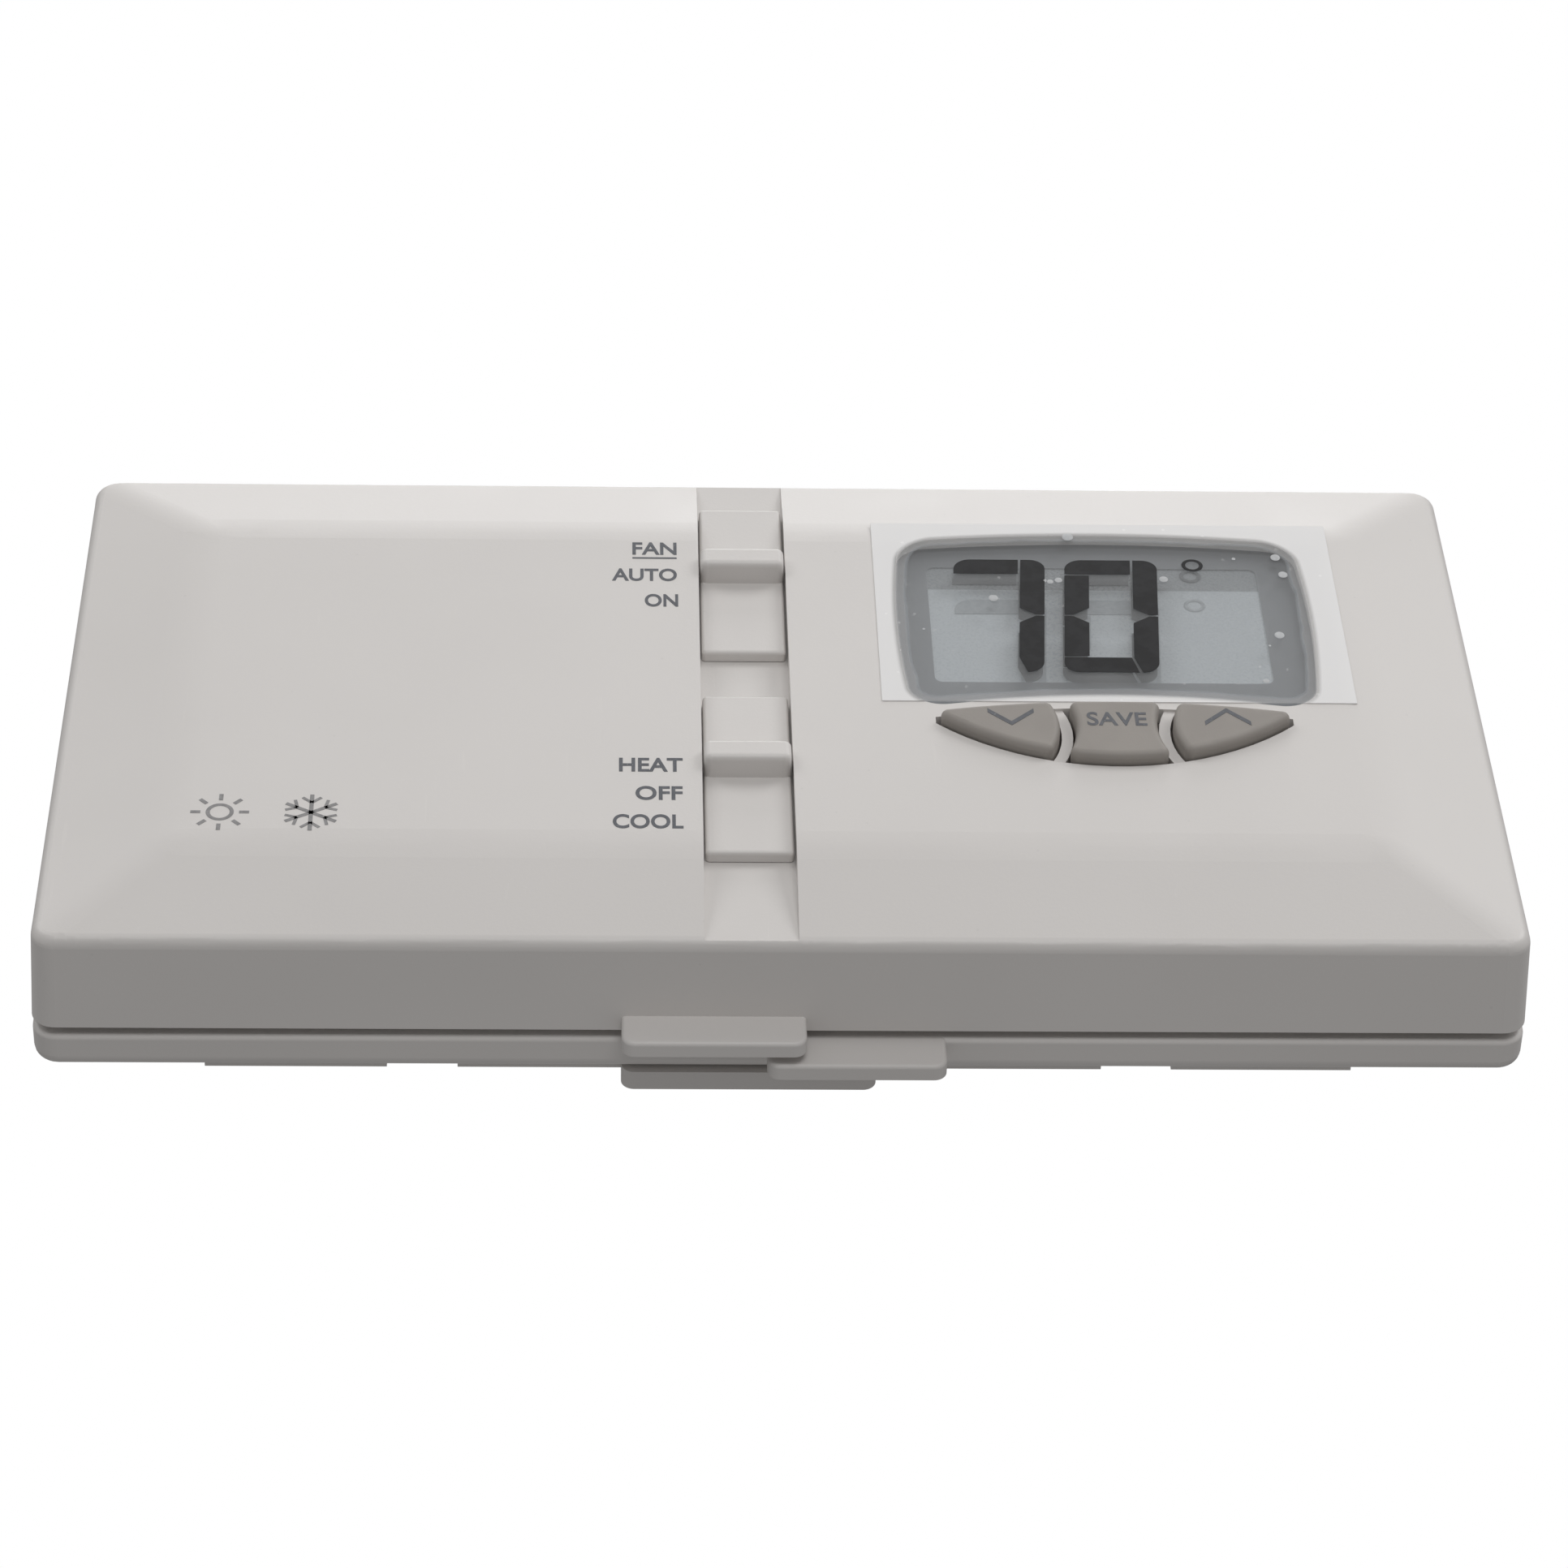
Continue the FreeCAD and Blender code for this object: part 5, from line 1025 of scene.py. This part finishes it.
class THERMOSTAT_OT_springs(bpy.types.Operator):
    """Wind the two battery springs"""

    bl_idname = "thermostat.springs"
    bl_label = "Battery springs"

    def execute(self, context):
        sizes = chosen("inside")
        low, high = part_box("battery_springs")
        wire, radius, long = sizes.spring_wire, sizes.spring_radius, sizes.spring_length
        middle = (low.y + high.y) / 2
        steps = 24
        forward = (long - 2 * wire) / sizes.spring_turns / steps
        pieces = []
        for start, height in ((low.x, high.z - radius), (high.x - long, low.z + radius)):
            wire_end = (start + wire, middle, height + radius - wire)
            deselect()
            bpy.ops.mesh.primitive_circle_add(vertices=10, radius=wire, fill_type="NGON", location=wire_end)
            piece = settle(bpy.context.object)
            edit(piece)
            turn(math.pi / 2, "X", wire_end)
            for _ in range(sizes.spring_turns * steps):
                bpy.ops.mesh.extrude_region_move(TRANSFORM_OT_translate={"value": (forward, 0, 0)})
                turn(2 * math.pi / steps, "X", (0, middle, height))
            bpy.ops.mesh.select_all(action="SELECT")
            bpy.ops.mesh.normals_make_consistent(inside=False)
            leave()
            bpy.ops.object.shade_smooth_by_angle(angle=math.radians(50))
            pieces.append(piece)
        piece = finished(joined(pieces, "coiled_springs"), metal("spring_finish", (0.60, 0.60, 0.59), 0.2),
                         "case")
        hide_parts("battery_springs")
        return {"FINISHED"}


# each group of chip resistors: its first x and height, columns, steps across and up, and how many, in
# millimetres
RESISTORS = ((60.5, 22.5, 2, 3.4, 2.3, 8), (9.0, 28.5, 1, 0.0, -2.4, 4), (60.0, -14.5, 2, 3.2, -2.4, 6))


class THERMOSTAT_OT_resistors(bpy.types.Operator):
    """Place chip resistors in free rows of the board"""

    bl_idname = "thermostat.resistors"
    bl_label = "Chip resistors"

    def execute(self, context):
        size = chosen("inside").resistor_length
        places = [(left + across * (index % columns), height + up * (index // columns))
                  for left, height, columns, across, up, count in RESISTORS for index in range(count)]
        body = dark_plastic("resistor_finish", (0.02, 0.02, 0.022), 0.3)
        tin = metal("resistor_tin", (0.66, 0.66, 0.65), 0.25)
        for name, finish, slot, long, wide, rise in (
                ("resistor_bodies", body, "black_plastic", size * 0.68, size * 0.58, 0.52 * MM),
                ("resistor_caps", tin, "tinned", size, size * 0.56, 0.48 * MM)):
            pieces = []
            for x, z in places:
                deselect()
                bpy.ops.mesh.primitive_cube_add(size=1, location=(x * MM, BOARD_FRONT - rise / 2, z * MM))
                piece = bpy.context.object
                piece.scale = (long, rise, wide)
                settle(piece)
                edit(piece)
                bpy.ops.mesh.bevel(offset=0.06 * MM, segments=2, affect="EDGES")
                leave()
                pieces.append(piece)
            finished(joined(pieces, name), finish, "case")
        return {"FINISHED"}


class THERMOSTAT_OT_cell_marks(bpy.types.Operator):
    """Mark plus and minus on the cells' wraps"""

    bl_idname = "thermostat.cell_marks"
    bl_label = "Cell marks"

    def execute(self, context):
        ink = printed_ink("cell_ink", (0.72, 0.72, 0.72))
        pieces = []
        half_long, half_tall, half_stroke = 1.6 * MM, 1.2 * MM, 0.3 * MM
        plus_in, minus_in = 8 * MM, 6 * MM
        sunk, thick = 0.015 * MM, 0.03 * MM
        for name, nub_right in NUB_RIGHT.items():
            low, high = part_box(name)
            depth = -low.y - sunk
            height = (low.z + high.z) / 2
            plus = high.x - plus_in if nub_right else low.x + plus_in
            minus = low.x + minus_in if nub_right else high.x - minus_in
            for middle in (plus, minus):
                pieces.append(plate("mark", (middle - half_long, middle + half_long),
                                    (height - half_stroke, height + half_stroke), depth, thick))
            pieces.append(plate("mark", (plus - half_stroke, plus + half_stroke),
                                (height - half_tall, height + half_tall), depth - 0.02 * MM, 0.05 * MM))
        finished(joined(pieces, "cell_marks"), ink, "case")
        return {"FINISHED"}


# ---- stage -----------------------------------------------------------------------------------

# each lamp's name, direction from the part and size in metres, and how far off all of them stand
LAMPS = (("top", (0.05, -0.15, 0.99), 0.60), ("right", (0.62, -0.60, 0.50), 0.50),
         ("left", (-0.62, -0.60, 0.50), 0.50), ("front", (0.10, -0.95, -0.30), 0.50))
LAMP_DISTANCE = 1.1
# the camera's right and up, as directions in the room
CAMERA_RIGHT = Vector((0.99939, -0.02536, -0.02398))
CAMERA_UP = Vector((-0.00580, -0.79813, 0.60247))


def lamp(name, direction, size, watts):
    """A square soft lamp that looks at the middle of the face from a direction."""
    deselect()
    middle = Vector((0, -20 * MM, 0))
    away = Vector(direction).normalized()
    bpy.ops.object.light_add(type="AREA", location=middle + away * LAMP_DISTANCE)
    light = bpy.context.object
    light.name = f"{name}_light"
    light.rotation_mode = "QUATERNION"
    light.rotation_quaternion = (-away).to_track_quat("-Z", "Y")
    light.data.size = size
    light.data.energy = watts


class THERMOSTAT_OT_stage(bpy.types.Operator):
    """Set up the camera, the lamps and the plain backdrop"""

    bl_idname = "thermostat.stage"
    bl_label = "Stage"

    def execute(self, context):
        studio = chosen("studio")
        scene = context.scene
        scene.view_settings.view_transform = "Standard"
        self.backdrop()
        self.world(scene, studio.fill_strength)
        for name, direction, size in LAMPS:
            lamp(name, direction, size, getattr(studio, f"{name}_power"))
        deselect()
        bpy.ops.object.camera_add(location=studio.camera_place)
        camera = context.object
        camera.name = "camera"
        axes = Matrix((CAMERA_RIGHT, CAMERA_UP, CAMERA_RIGHT.cross(CAMERA_UP)))
        camera.rotation_mode = "QUATERNION"
        camera.rotation_quaternion = axes.transposed().to_quaternion()
        camera.data.lens = studio.lens
        camera.data.sensor_width = 36
        camera.data.clip_start = 0.01
        camera.data.clip_end = 50
        scene.camera = camera
        return {"FINISHED"}

    def backdrop(self):
        """A white sheet just behind the part, seen from the room only, which stops no light."""
        deselect()
        bpy.ops.mesh.primitive_plane_add(size=8, location=(0, 0.4 * MM, 0), rotation=(math.pi / 2, 0, 0))
        sheet = bpy.context.object
        sheet.name = "backdrop"
        finish = Finish("backdrop_finish")
        seen = finish.node("ShaderNodeLightPath", output="Is Camera Ray")
        behind = finish.node("ShaderNodeNewGeometry", output="Backfacing")
        white = finish.node("ShaderNodeEmission", values={"Color": (1, 1, 1, 1), "Strength": 1.0})
        clear = finish.node("ShaderNodeBsdfTransparent")
        mixed = finish.node("ShaderNodeMixShader", values={0: seen * (1.0 - behind), 1: clear, 2: white})
        sheet.data.materials.append(finish.show(mixed))

    def world(self, scene, strength):
        """Even light from all sides, which the camera sees as white."""
        scene.world = bpy.data.worlds.new("studio")
        scene.world.use_nodes = True
        tree = scene.world.node_tree
        tree.nodes.clear()
        seen = tree.nodes.new("ShaderNodeLightPath")
        level = tree.nodes.new("ShaderNodeMix")
        level.inputs["A"].default_value = strength
        level.inputs["B"].default_value = 1.0
        tree.links.new(seen.outputs["Is Camera Ray"], level.inputs["Factor"])
        light = tree.nodes.new("ShaderNodeBackground")
        tree.links.new(level.outputs["Result"], light.inputs["Strength"])
        out = tree.nodes.new("ShaderNodeOutputWorld")
        tree.links.new(light.outputs[0], out.inputs["Surface"])


# ---- add-on ----------------------------------------------------------------------------------

STEPS = (THERMOSTAT_OT_finishes, THERMOSTAT_OT_legends, THERMOSTAT_OT_icons, THERMOSTAT_OT_key_marks,
         THERMOSTAT_OT_digits, THERMOSTAT_OT_painted_shadow_and_reflection, THERMOSTAT_OT_bubbles, THERMOSTAT_OT_springs,
         THERMOSTAT_OT_resistors, THERMOSTAT_OT_cell_marks, THERMOSTAT_OT_stage)


class THERMOSTAT_PT_panel(bpy.types.Panel):
    """Sizes, colours and steps of the thermostat's looks"""

    bl_idname = "THERMOSTAT_PT_panel"
    bl_label = "Wall thermostat"
    bl_space_type = "VIEW_3D"
    bl_region_type = "UI"
    bl_category = "Thermostat"

    def draw(self, context):
        for name, group in GROUPS.items():
            box = self.layout.box()
            box.label(text=name.capitalize())
            for field in group.__annotations__:
                box.prop(chosen(name), field)
        for step in STEPS:
            self.layout.operator(step.bl_idname)


CLASSES = (*GROUPS.values(), *STEPS, THERMOSTAT_PT_panel)


def register():
    for item in CLASSES:
        bpy.utils.register_class(item)
    for name, group in GROUPS.items():
        setattr(bpy.types.Scene, f"thermostat_{name}", PointerProperty(type=group))


def unregister():
    for name in GROUPS:
        delattr(bpy.types.Scene, f"thermostat_{name}")
    for item in reversed(CLASSES):
        bpy.utils.unregister_class(item)


def main():
    register()
    for step in STEPS:
        group, name = step.bl_idname.split(".")
        getattr(getattr(bpy.ops, group), name)()


if __name__ == "__main__":
    main()
